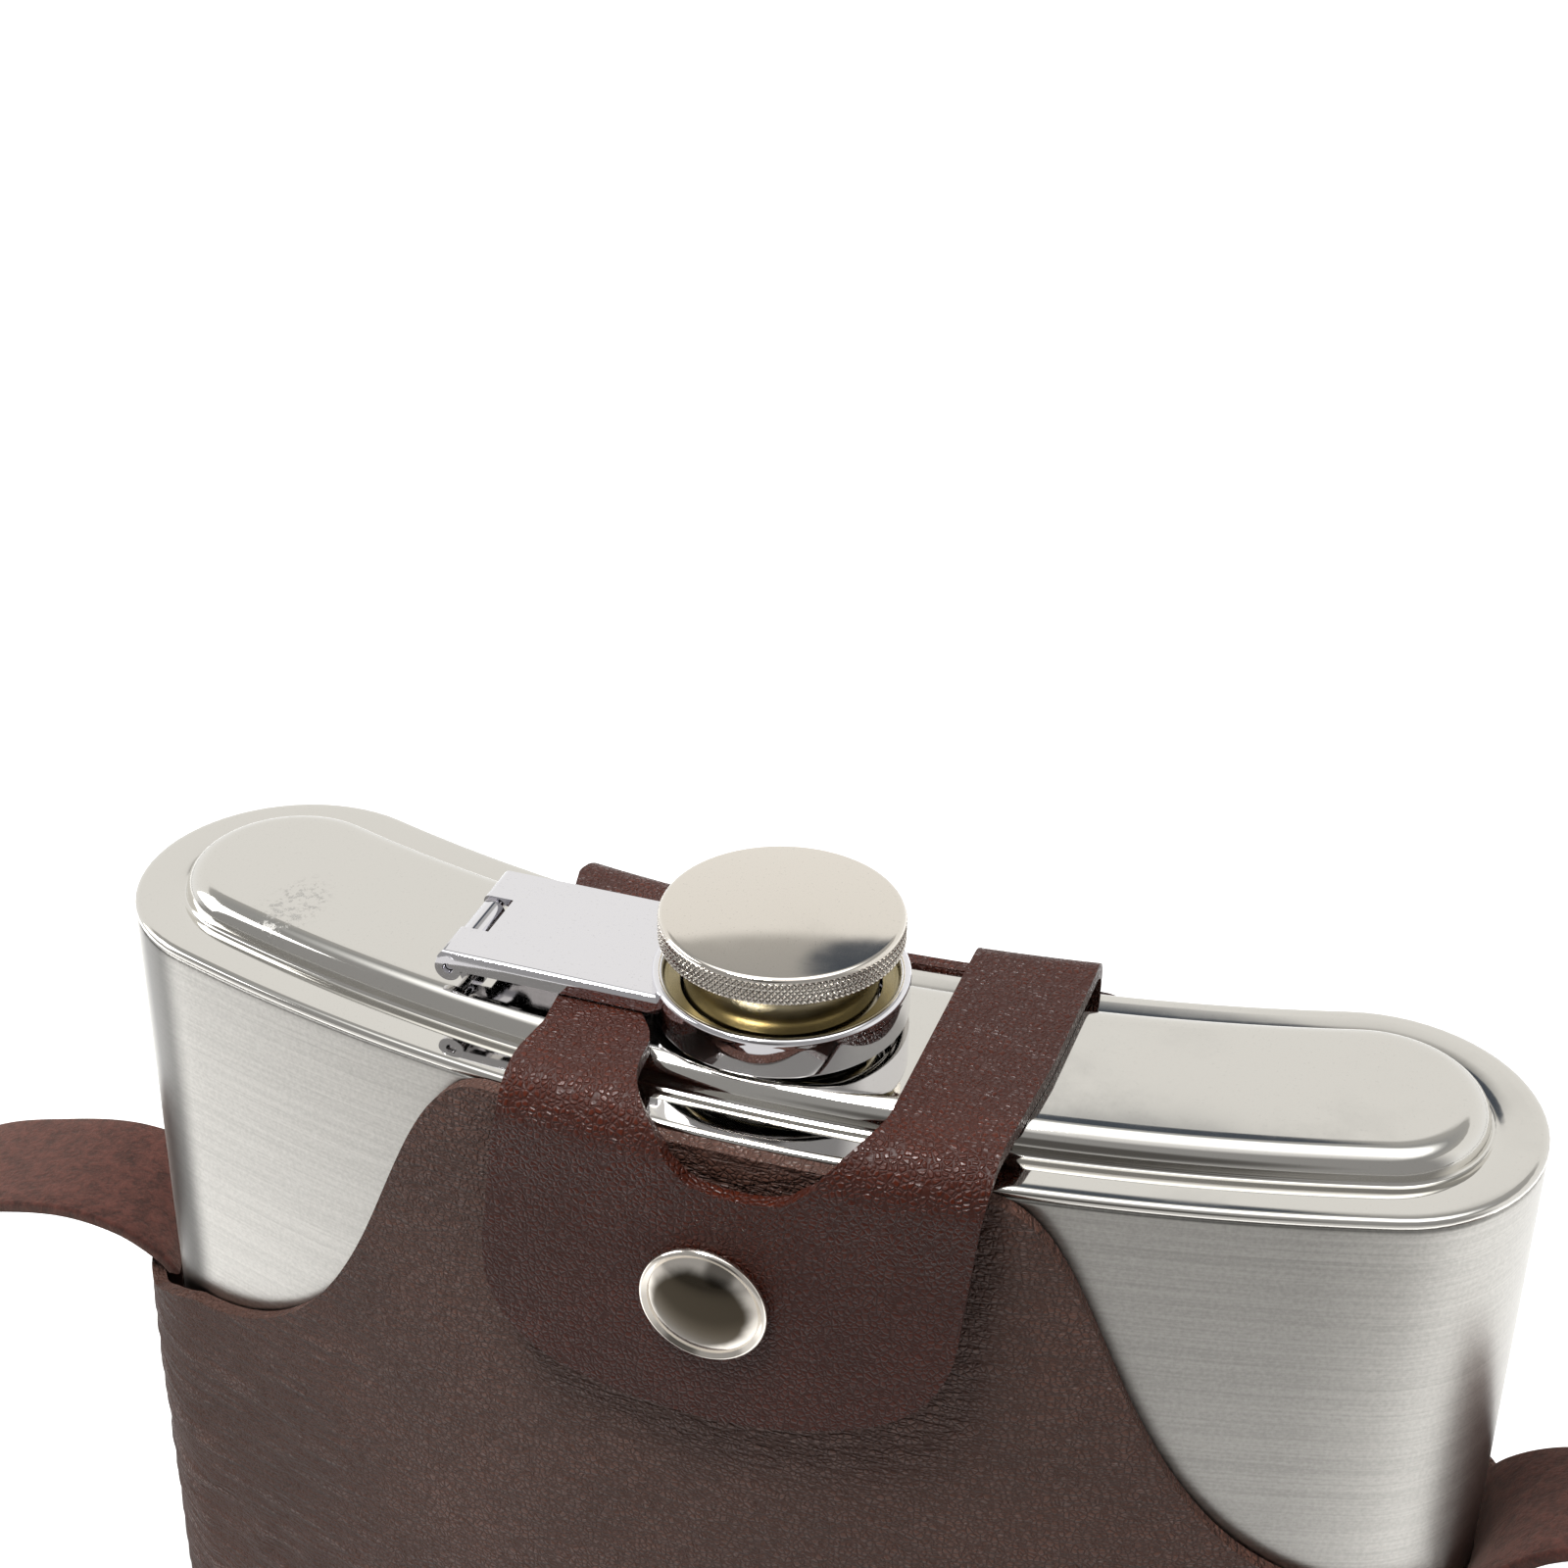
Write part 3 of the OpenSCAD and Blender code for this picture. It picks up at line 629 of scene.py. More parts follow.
def suede(name, tint, rough=0.95):
    """The flesh side and cut edges: matt fibres"""
    def build(tree, shader, place):
        fibre = speckle(tree, scaled(tree, place, (1500, 1500, 700)), 1.0, 6.0, 0.75)
        clump = speckle(tree, place, 520.0, 4.0, 0.7)
        both = sum_of(tree, fibre, 0.5, "MULTIPLY_ADD", sum_of(tree, clump, 0.5, "MULTIPLY"))
        plug(
            tree, shader, Roughness=rough, Sheen_Weight=0.25, Sheen_Roughness=0.5,
            Sheen_Tint=(0.9, 0.62, 0.52, 1), Specular_IOR_Level=0.25,
            Base_Color=mixed(tree, spread(tree, both, 0.36, 0.64), dimmed(tint, 0.4),
                             dimmed(tint, 1.6)),
            Normal=bumped(tree, both, 0.9, 0.00035),
        )
    return finish(name, build)


def thread():
    tint = tints().thread

    def build(tree, shader, place):
        twist = speckle(tree, scaled(tree, place, (2600, 2600, 900)), 1.0, 2.0)
        plug(tree, shader, Roughness=0.7, Sheen_Weight=0.2,
             Base_Color=mixed(tree, twist, dimmed(tint, 0.7), dimmed(tint, 1.5)),
             Normal=bumped(tree, twist, 0.8, 0.0002))
    return finish("thread_finish", build)


def liner_board():
    def build(tree, shader, place):
        pulp = speckle(tree, place, 1600.0, 4.0)
        plug(tree, shader, Roughness=0.75,
             Base_Color=mixed(tree, pulp, (0.55, 0.53, 0.49, 1), (0.72, 0.70, 0.66, 1)),
             Normal=bumped(tree, pulp, 0.4, 0.0001))
    return finish("liner_finish", build)


def chrome():
    return plated("chrome_finish", tints().chrome, 0.035)


def nickel():
    return plated("nickel_finish", tints().nickel, 0.06)


def knurled_nickel():
    """Nickel with painted shade in the grooves between the knurling's points"""
    def build(tree, shader, place):
        spot = add(tree, "VectorMath", {0: place, 1: at(*NECK, 0)}, operation="SUBTRACT")
        flat = scaled(tree, spot.outputs[0], (1, 1, 0))
        out = add(tree, "VectorMath", {0: flat}, operation="LENGTH").outputs["Value"]
        # painted shade: dark inside the grooves' radius, slightly lighter on the points
        plug(tree, shader, Metallic=1.0, Roughness=0.16, Base_Color=mixed(
            tree, spread(tree, out, 0.01352, 0.01376), dimmed(tints().nickel, 0.16),
            dimmed(tints().nickel, 1.1)))
    return finish("knurled_nickel_finish", build)


def snap_nickel():
    """Nickel dome with a dark middle, painted in place of dark surroundings it would mirror"""
    def build(tree, shader, place):
        spot = add(tree, "VectorMath", {0: place, 1: at(SNAP[0], 0, SNAP[1] + 0.2)},
                   operation="SUBTRACT")
        flat = scaled(tree, spot.outputs[0], (1, 0, 1.15))
        out = add(tree, "VectorMath", {0: flat}, operation="LENGTH").outputs["Value"]
        ragged = sum_of(tree, speckle(tree, place, 260.0, 3.0), 0.0012, "MULTIPLY_ADD", out)
        plug(tree, shader, Metallic=1.0, Roughness=0.09, Base_Color=mixed(
            tree, spread(tree, ragged, 0.0056, 0.0072), (0.075, 0.062, 0.045, 1),
            dimmed(tints().nickel, 1.1)))
    return finish("snap_nickel_finish", build)


def skirt_metal():
    return plated("skirt_finish", tints().brass, 0.20)


def sleeve_leather():
    return leather("sleeve_leather_finish", tints().sleeve, 1450.0, 1.0, 0.42, 0.00026, 3.0)


def flap_leather():
    return leather("flap_leather_finish", tints().flap, 1450.0, 0.1, 0.34, 0.00021, polish=0.12,
                   gloss=0.26)


def raw_leather():
    return suede("raw_leather_finish", dimmed(tints().suede, 0.8))


# ---- Pieces ----


class StepOperator(bpy.types.Operator):
    """One step of the build"""

    bl_idname = "canteen.step"
    bl_label = "Canteen step"
    bl_options = {"REGISTER", "UNDO"}

    def execute(self, context):
        self.make(context)
        return {"FINISHED"}

    def make(self, context):
        raise NotImplementedError


class CANTEEN_OT_stage(StepOperator):
    """Camera, pale floor and soft studio light"""

    bl_idname = "canteen.stage"
    bl_label = "Stage"

    azimuth = math.radians(19.05)
    elevation = math.radians(30.55)
    roll = math.radians(0.762)

    def make(self, context):
        pick_nothing()
        bpy.ops.object.camera_add()
        camera = context.object
        camera.data.lens = 62.6
        camera.data.sensor_width = 36
        camera.data.clip_start = 0.01
        back = Vector((
            math.sin(self.azimuth) * math.cos(self.elevation),
            -math.cos(self.azimuth) * math.cos(self.elevation), math.sin(self.elevation),
        ))
        side = Vector((0, 0, 1)).cross(back).normalized()
        over = back.cross(side)
        c, s = math.cos(self.roll), math.sin(self.roll)
        turn = Matrix((c * side + s * over, c * over - s * side, back)).transposed()
        camera.matrix_world = Matrix.Translation(at(82.74, -236.43, 349.11)) @ turn.to_4x4()
        context.scene.camera = camera
        self.floor()
        self.sky(context)
        self.lamp("overhead_light", (-0.22, -0.30, 1.15), (0, 0.0, 0.1), 0.32, 15.0)
        self.lamp("left_light", (-1.15, -0.15, 0.75), (0, 0, 0.12), 0.7, 5.0)
        context.scene.view_settings.view_transform = "Standard"

    def floor(self):
        """Pale floor with painted shade: it falls to grey in front, where the leather and the snap mirror it
        """
        pick_nothing()
        bpy.ops.mesh.primitive_plane_add(size=12)
        floor = bpy.context.object
        floor.name = "floor"

        def build(tree, shader, place):
            mottle = speckle(tree, place, 3.0, 2.0)
            paper = mixed(tree, mottle, (0.93, 0.93, 0.93, 1), (0.95, 0.95, 0.945, 1))
            parts = add(tree, "SeparateXYZ", {0: place}).outputs
            # painted shade: the floor greys towards the front
            front = spread(tree, parts["Y"], 0.0, -0.20)
            plug(tree, shader, Roughness=0.8, Specular_IOR_Level=0.2,
                 Base_Color=mixed(tree, front, paper, (0.37, 0.365, 0.36, 1)))
        floor.data.materials.append(finish("floor_paper_and_shade", build))

    def sky(self, context):
        """Pale studio: bright to 37 degrees up, then greyer, bright overhead, dim in front"""
        world = bpy.data.worlds.new("studio")
        context.scene.world = world
        world.use_nodes = True
        tree = world.node_tree
        tree.nodes.clear()
        direction = add(tree, "TexCoord").outputs["Generated"]
        parts = add(tree, "SeparateXYZ", {0: direction}).outputs
        ramp = tree.nodes.new("ShaderNodeValToRGB")
        tree.links.new(parts["Z"], ramp.inputs[0])
        stops = (
            (0.0, (1.0, 1.0, 0.99)), (0.30, (0.95, 0.94, 0.915)), (0.602, (0.90, 0.885, 0.855)),
            (0.622, (0.46, 0.45, 0.43)), (0.78, (0.36, 0.36, 0.355)), (0.86, (0.85, 0.85, 0.84)),
            (1.0, (1.0, 1.0, 1.0)),
        )
        bar = ramp.color_ramp
        while len(bar.elements) < len(stops):
            bar.elements.new(0.5)
        for element, (position, tint) in zip(bar.elements, stops):
            element.position = position
            element.color = (*tint, 1)
        front = spread(tree, parts["Y"], 0.15, -0.35)
        base = mixed(tree, front, ramp.outputs[0], (0.33, 0.325, 0.32, 1))
        for place, width, strength, tint in (
            ((-0.13, 0.74, 0.675), (0.995, 0.9972), 0.9, (0.035, 0.05, 0.075, 1)),
            ((0.10, -0.93, 0.25), (0.93, 0.985), 0.85, (0.06, 0.055, 0.05, 1)),
        ):
            aim = Vector(place).normalized()
            dot = add(tree, "VectorMath", {0: direction, 1: aim}, operation="DOT_PRODUCT")
            ragged = sum_of(tree, speckle(tree, direction, 9.0, 4.0), 0.006, "MULTIPLY_ADD",
                            dot.outputs["Value"])
            mask = spread(tree, ragged, width[0] + 0.003, width[1] + 0.003, 0.0, strength)
            base = mixed(tree, mask, base, tint)
        overhead = spread(tree, parts["Z"], 0.80, 0.93, 1.0, 2.6)
        shine = add(tree, "Background", {"Color": base, "Strength": overhead})
        leave = add(tree, "OutputWorld", {"Surface": shine.outputs[0]})
        leave.name = "sky"

    def lamp(self, name, place, aim, size, power):
        pick_nothing()
        bpy.ops.object.light_add(type="AREA", location=place)
        lamp = bpy.context.object
        lamp.name = name
        lamp.data.shape = "SQUARE"
        lamp.data.size = size
        lamp.data.energy = power
        direction = Vector(aim) - Vector(place)
        lamp.rotation_euler = direction.to_track_quat("-Z", "Y").to_euler()


class CANTEEN_OT_strap(StepOperator):
    """Free shoulder strap, and its ends inside the sleeve"""

    bl_idname = "canteen.strap"
    bl_label = "Shoulder strap"

    spans = 8

    def stations(self):
        route = [Vector(p[:3]) for p in STRAP_ROUTE]
        lean = [Vector(p[3:]) for p in STRAP_ROUTE]
        last = len(route) - 1

        def curve(points, i, t):
            a, b = points[max(i - 1, 0)], points[i]
            c, d = points[i + 1], points[min(i + 2, last)]
            return 0.5 * (2 * b + (c - a) * t + (2 * a - 5 * b + 4 * c - d) * t * t
                          + (3 * b - a - 3 * c + d) * t**3)
        line = [(curve(route, i, k / self.spans), curve(lean, i, k / self.spans))
                for i in range(last) for k in range(self.spans)]
        return line + [(route[last], lean[last])]

    def make(self, context):
        sizes = context.scene.canteen_leather
        half_w, half_t = sizes.strap / MM / 2, sizes.thickness / MM / 2
        line = self.stations()
        count = len(line)
        section = []
        for cx, cy, start in ((1, 1, 0), (-1, 1, 90), (-1, -1, 180), (1, -1, 270)):
            section += arc(cx * (half_w - 0.5), cy * (half_t - 0.5), 0.5, start, start + 90, 3)
        sides = []
        for n, point in enumerate(section):
            sides.append(point)
            following = section[(n + 1) % len(section)]
            gap = abs(following[0] - point[0])
            if gap > 2:
                sides += [(point[0] + (following[0] - point[0]) * i / 8, point[1])
                          for i in range(1, 8)]
        around = len(sides)

        def ring(i):
            point, lean = line[i]
            if i in (0, count - 1):
                along = Vector((0, 0, 1 if i == 0 else -1))
            else:
                along = (line[i + 1][0] - line[i - 1][0]).normalized()
            wide = (lean - lean.dot(along) * along).normalized()
            return point, wide, along.cross(wide)
        frames = [ring(i) for i in range(count)]
        bow = 1 / (2 * 20.5)

        def place(u, v):
            i, k = round(v * (count - 1)), round(u * around) % around
            point, wide, normal = frames[i]
            near = min((line[i][0] - line[0][0]).length, (line[i][0] - line[-1][0]).length)
            held = max(0.0, 1 - near / 16) ** 2 * (1 if STRAP_ROUTE[0][2] > 0 else 0)
            across, thick = sides[k]
            curl = Vector((1 if point.x < 0 else -1, 0, 0)) * (across * across * bow * held)
            drift = noise.noise(point * 0.06) * 0.3 * (across / half_w) ** 2
            return point + across * wide + (thick + drift * (1 - held)) * normal + curl
        strap = gridded(around, count - 1, place)
        closed_up(strap, outward=False)
        pick(strap)
        bpy.ops.object.mode_set(mode="EDIT")
        bpy.ops.mesh.select_all(action="DESELECT")
        bpy.ops.mesh.select_mode(type="EDGE")
        bpy.ops.mesh.select_non_manifold()
        bpy.ops.mesh.fill()
        bpy.ops.mesh.select_all(action="SELECT")
        bpy.ops.mesh.normals_make_consistent(inside=False)
        bpy.ops.mesh.select_mode(type="VERT")
        bpy.ops.object.mode_set(mode="OBJECT")
        smoothed(strap, 50)
        finished(strap, "shoulder_strap_leather", "flask",
                 [suede("strap_suede_finish", tints().suede)], ["shoulder_strap"])
        self.ends(half_t)

    def ends(self, half_t):
        bend, half, end_angle = flask()
        radius = half + 0.6 + half_t
        spread_angle = 10 / radius
        x0, y0 = polar(bend, end_angle)
        low = SEAM - 92
        high = SEAM - bpy.context.scene.canteen_leather.end_drop / MM
        tabs = []
        for side in (-1, 1):
            def place(u, v):
                turn = (2 * u - 1) * spread_angle + math.radians(5)
                return (side * (x0 + radius * math.cos(turn)), y0 + radius * math.sin(turn),
                        low + v * (high - low))
            tabs.append(gridded(16, 20, place))
        pick(tabs[0])
        tabs[1].select_set(True)
        bpy.ops.object.join()
        ends = bpy.context.object
        modified(ends, "SOLIDIFY", thickness=2 * half_t * MM, offset=0)
        closed_up(ends)
        smoothed(ends)
        finished(ends, "strap_end_tabs", "flask",
                 [suede("strap_suede_finish", tints().suede)], ["strap_ends"])


class CANTEEN_OT_wall(StepOperator):
    """Brushed steel wall of the flask"""

    bl_idname = "canteen.wall"
    bl_label = "Flask wall"

    def make(self, context):
        sheet = context.scene.canteen_flask.sheet
        heights = [FOOT + (SEAM - FOOT - 1.0) * i / 16 for i in range(17)]
        profile = [(0.0, z) for z in heights]
        profile += [(0.0, SEAM - 0.5), (0.03, SEAM - 0.25), (0.14, SEAM - 0.07), (0.3, SEAM)]
        wall = rings(profile)
        closed_up(wall)
        modified(wall, "SOLIDIFY", thickness=sheet, offset=-1)
        smoothed(wall, 40)
        finished(wall, "steel_wall", "flask", [brushed_steel()],
                 ["flask_wall"])
        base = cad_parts["flask_base"]
        base.data.materials.clear()
        base.data.materials.append(brushed_steel())


class CANTEEN_OT_lid(StepOperator):
    """Pressed lid with its rolled rim and raised top, and the neck"""

    bl_idname = "canteen.lid"
    bl_label = "Lid and neck"

    def make(self, context):
        self.lid(context.scene.canteen_flask)
        self.neck()

    def lid(self, sizes):
        inset, top = sizes.lid_inset / MM, sizes.lid_top / MM
        round_r = sizes.shoulder / MM
        half = sizes.depth / MM / 2
        profile = [
            (0.9, -3.0), (0.82, -0.9), (0.55, -0.3), (0.33, -0.12), (0.26, 0.0), (0.12, 0.10),
            (0.0, 0.28), (-0.06, 0.5), (-0.03, 0.74), (0.08, 0.95), (0.27, 1.11), (0.55, 1.2),
            (0.9, 1.21), (1.8, 1.19), (3.2, 1.16), (4.6, 1.12), (inset - 0.75, 1.07),
            (inset - 0.4, 1.0), (inset - 0.18, 0.95), (inset, 1.02), (inset + 0.12, 1.2),
        ]
        foot = inset + 0.2
        centre = foot + round_r
        profile += [
            (centre - round_r * math.cos(a), top - round_r + round_r * math.sin(a))
            for a in (math.radians(90 * i / 10) for i in range(11))
        ]
        profile += [(d, top + 0.0) for d in (centre + 0.8, centre + 2.0, 12.5, 14.5, 16.5, half)]
        lid = rings([(d, SEAM + z) for d, z in profile])
        closed_up(lid)
        pick(lid)
        bpy.ops.object.mode_set(mode="EDIT")
        bm = bmesh.from_edit_mesh(lid.data)
        hub = Vector((NECK[0], NECK[1])) * MM
        reach = {v: (v.co.xy - hub).length for v in bm.verts}
        hole = [f for f in bm.faces if any(reach[v] < 8.6 * MM for v in f.verts)]
        edge = {v for f in hole for v in f.verts}
        bmesh.ops.delete(bm, geom=hole, context="FACES")
        for vert in edge:
            if vert.is_valid and vert.link_faces:
                away = (vert.co.xy - hub).normalized() * 8.6 * MM
                vert.co.x, vert.co.y = hub + away
        bmesh.ops.delete(bm, geom=[v for v in bm.verts if not v.link_faces], context="VERTS")
        bmesh.update_edit_mesh(lid.data)
        bpy.ops.object.mode_set(mode="OBJECT")
        modified(lid, "SOLIDIFY", thickness=0.0005, offset=-1)
        smoothed(lid, 50)
        finished(lid, "pressed_lid", "flask", [polished_steel()], ["lid"])

    def neck(self):
        core, top = 8.8, 13.0
        profile = [(8.0, 2.3), (8.0, top - 0.3), (8.1, top - 0.1), (8.3, top), (8.5, top),
                   (8.7, top - 0.1), (core, top - 0.35)]
        for i in range(5):
            z = top - 1.0 - 1.2 * i
            profile += [(core, z), (9.15, z - 0.2), (9.4, z - 0.36), (9.4, z - 0.52),
                        (9.15, z - 0.72), (core, z - 0.9)]
        profile += [(8.85, 5.4), (9.1, 5.0), (9.7, 4.78), (11.8, 4.7), (11.97, 4.62), (12, 4.22),
                    (8.55, 4.1), (8.5, 2.3)]
        neck = spun(profile, 96)
        placed(neck, Matrix.Translation(at(*NECK, SEAM)))
        smoothed(neck, 30)
        finished(neck, "threaded_neck", "flask", [polished_steel()], ["neck"])


class CANTEEN_OT_cap(StepOperator):
    """Screw cap with a diamond-knurled head and a plain skirt"""

    bl_idname = "canteen.cap"
    bl_label = "Cap"

    knurl_low, knurl_high = 14.55, 17.15
    depth = 0.30

    def make(self, context):
        sizes = context.scene.canteen_flask
        head, rise, teeth = sizes.head / MM, sizes.dome / MM, sizes.teeth
        crown = [(head - 0.75) * i / 14 for i in range(15)]
        profile = [(r, 18.2 - rise * (r / head) ** 2) for r in crown]
        edge = profile[-1][1]
        profile += [(head - 0.75 + 0.62 * math.sin(a), edge - 0.42 + 0.42 * math.cos(a))
                    for a in (math.radians(18 * i) for i in range(1, 6))]
        rows = 22
        profile += [(head, self.knurl_high - (self.knurl_high - self.knurl_low) * i / rows)
                    for i in range(rows + 1)]
        profile += [(head - 0.35, 14.38), (head - 0.7, 14.3), (11.6, 14.3), (11.2, 14.15),
                    (11.02, 13.8), (11.0, 12.5), (11.0, 9.0), (11.0, 6.4), (11.0, 5.78),
                    (10.62, 5.75), (10.62, 5.1), (11.0, 5.08), (10.95, 5.0), (10.1, 5.0),
                    (10.1, 9.0), (10.1, 13.3), (0, 13.3)]
        cap = spun(profile, 4 * teeth, open_ends=True)
        middle = (self.knurl_low + self.knurl_high) / 2
        half = (self.knurl_high - self.knurl_low) / 2
        for vert in cap.data.vertices:
            radius, z = vert.co.xy.length / MM, vert.co.z / MM
            if abs(radius - head) > 0.01 or not self.knurl_low - 0.01 < z < self.knurl_high + 0.01:
                continue
            turn = math.atan2(vert.co.y, vert.co.x) * teeth / (2 * math.pi)
            lift = (z - middle) / (2 * math.pi * head / teeth)
            a, b = turn + lift * 0.9, turn - lift * 0.9
            ridge = min(abs(a - round(a)), abs(b - round(b))) * 2
            fade = min(1.0, (half - abs(z - middle)) / 0.25 + 0.25)
            scale = (head - self.depth * (1 - min(1.0, ridge * 1.7)) * fade) / radius
            vert.co.x *= scale
            vert.co.y *= scale
        placed(cap, Matrix.Translation(at(*NECK, SEAM)))
        smoothed(cap, 28)
        finished(cap, "knurled_cap", "cap",
                 [nickel(), skirt_metal(), knurled_nickel()], ["cap"])
        paint(cap, 1, lambda c, n: c.z < SEAM + 14.36 and
              math.hypot(c.x - NECK[0], c.y - NECK[1]) < 13.2)
        # the knurled band takes the nickel with painted shade in its grooves
        paint(cap, 2, lambda c, n: self.knurl_low < c.z - SEAM < self.knurl_high and
              math.hypot(c.x - NECK[0], c.y - NECK[1]) > head - 0.45)
        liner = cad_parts["cap_liner"]
        liner.data.materials.clear()
        liner.data.materials.append(liner_board())


class CANTEEN_OT_arm(StepOperator):
    """Hinged arm: ring, channel plate, pin and the bracket on the lid"""

    bl_idname = "canteen.arm"
    bl_label = "Hinged arm"

    def make(self, context):
        sizes = context.scene.canteen_flask
        self.ring(sizes.ring / MM)
        self.plate(sizes.arm / MM / 2, sizes.ring / MM)
        self.pin()
        for node in ("hinge_bracket", "retaining_clip"):
            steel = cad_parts[node]
            steel.data.materials.clear()
            steel.data.materials.append(chrome())

    def ring(self, outer):
        inner = outer - 1.2
        profile = [(outer - 0.25, 5.3), (outer - 0.05, 5.38), (outer, 5.6), (outer, 8.9),
                   (outer + 0.02, 9.1)]
        profile += arc(outer - 0.58, 9.62, 0.62, -20, 200, 14)
        profile += [(inner, 9.2), (inner - 0.03, 8.95), (inner - 0.25, 8.7), (inner - 0.7, 8.55),
                    (11.6, 8.5), (11.35, 8.45), (11.3, 8.3), (11.3, 7.75), (11.4, 7.6),
                    (inner - 0.3, 7.6), (inner, 7.3), (inner, 5.6), (inner + 0.15, 5.35),
                    (inner + 0.35, 5.3)]
        ring = spun(profile, 128)
        placed(ring, Matrix.Translation(at(*NECK, SEAM)))
        smoothed(ring, 40)
        finished(ring, "cap_ring", "arm", [chrome(), skirt_metal()], ["arm_ring"])
        paint(ring, 1, lambda c, n: math.hypot(c.x - NECK[0], c.y - NECK[1]) < inner + 0.02
              and c.z > SEAM + 7.65 and c.z < SEAM + 9.1)

    def block(self, low, high):
        """A box between two corners"""
        pick_nothing()
        middle = [(a + b) / 2 * MM for a, b in zip(low, high)]
        bpy.ops.mesh.primitive_cube_add(size=1, location=middle)
        box = bpy.context.object
        box.scale = [(b - a) * MM for a, b in zip(low, high)]
        bpy.ops.object.transform_apply(location=True, rotation=True, scale=True)
        return box

    def rod(self, radius, low, high, x, z, vertices=48):
        """A rod along Y"""
        pick_nothing()
        bpy.ops.mesh.primitive_cylinder_add(
            vertices=vertices, radius=radius * MM, depth=(high - low) * MM,
            location=at(x, (low + high) / 2, z), rotation=(math.pi / 2, 0, 0),
        )
        bpy.ops.object.transform_apply(location=True, rotation=True, scale=True)
        return bpy.context.object

    def combined(self, piece, other, operation):
        modified(piece, "BOOLEAN", operation=operation, object=other, solver="EXACT")
        bpy.data.objects.remove(other)

    def plate(self, half, ring_r):
        top, flange, left = SEAM + 8.6, SEAM + 6.5, PIN[0] - 1.3
        ear, y = 1.2, PIN[1]
        plate = self.block((left, y - half, flange), (NECK[0] - 4, y + half, top))
        pick(plate)
        bpy.ops.object.mode_set(mode="EDIT")
        bm = bmesh.from_edit_mesh(plate.data)
        for edge in bm.edges:
            a, b = (v.co for v in edge.verts)
            long_top = min(a.z, b.z) > (top - 0.1) * MM and abs(a.y - b.y) < 1e-6
            edge.select_set(long_top)
        bm.select_flush_mode()
        bmesh.update_edit_mesh(plate.data)
        bpy.ops.mesh.bevel(offset=0.8 * MM, segments=6, affect="EDGES")
        bpy.ops.object.mode_set(mode="OBJECT")
        for side in (-1, 1):
            low, high = sorted((y + side * half, y + side * (half - ear)))
            self.combined(plate, self.rod(1.6, low, high, PIN[0], PIN[2]), "UNION")
        self.combined(plate, self.block(
            (left - 5, y - half + ear, flange - 5), (NECK[0] + 9, y + half - ear, top - 1),
        ), "DIFFERENCE")
        self.combined(plate, self.block(
            (left - 5, y - 3.5, flange - 5), (left + 3.8, y + 3.5, top + 5),
        ), "DIFFERENCE")
        self.combined(plate, self.rod(0.66, y - 20, y + 20, PIN[0], PIN[2], 32), "DIFFERENCE")
        pick_nothing()
        bpy.ops.mesh.primitive_cylinder_add(
            vertices=160, radius=(ring_r - 0.3) * MM, depth=0.04, location=at(*NECK, SEAM + 8),
        )
        cutter = bpy.context.object
        bpy.ops.object.transform_apply(location=True, rotation=True, scale=True)
        self.combined(plate, cutter, "DIFFERENCE")
        modified(plate, "BEVEL", width=0.22 * MM, segments=3, limit_method="ANGLE",
                 angle_limit=math.radians(50))
        smoothed(plate, 35)
        modified(plate, "WEIGHTED_NORMAL", keep_sharp=True)
        finished(plate, "channel_plate", "arm", [chrome()], ["arm_plate"])

    def pin(self):
        half = 8.7
        profile = [(0, -half), (0.45, -half), (0.58, -half + 0.13), (0.6, -half + 0.3),
                   (0.6, half - 0.3), (0.58, half - 0.13), (0.45, half), (0, half)]
        pin = spun(profile, 32, open_ends=True)
        placed(pin, turned_to((0, -1, 0), PIN))
        smoothed(pin)
        finished(pin, "hinge_rod", "arm", [chrome()], ["hinge_pin"])


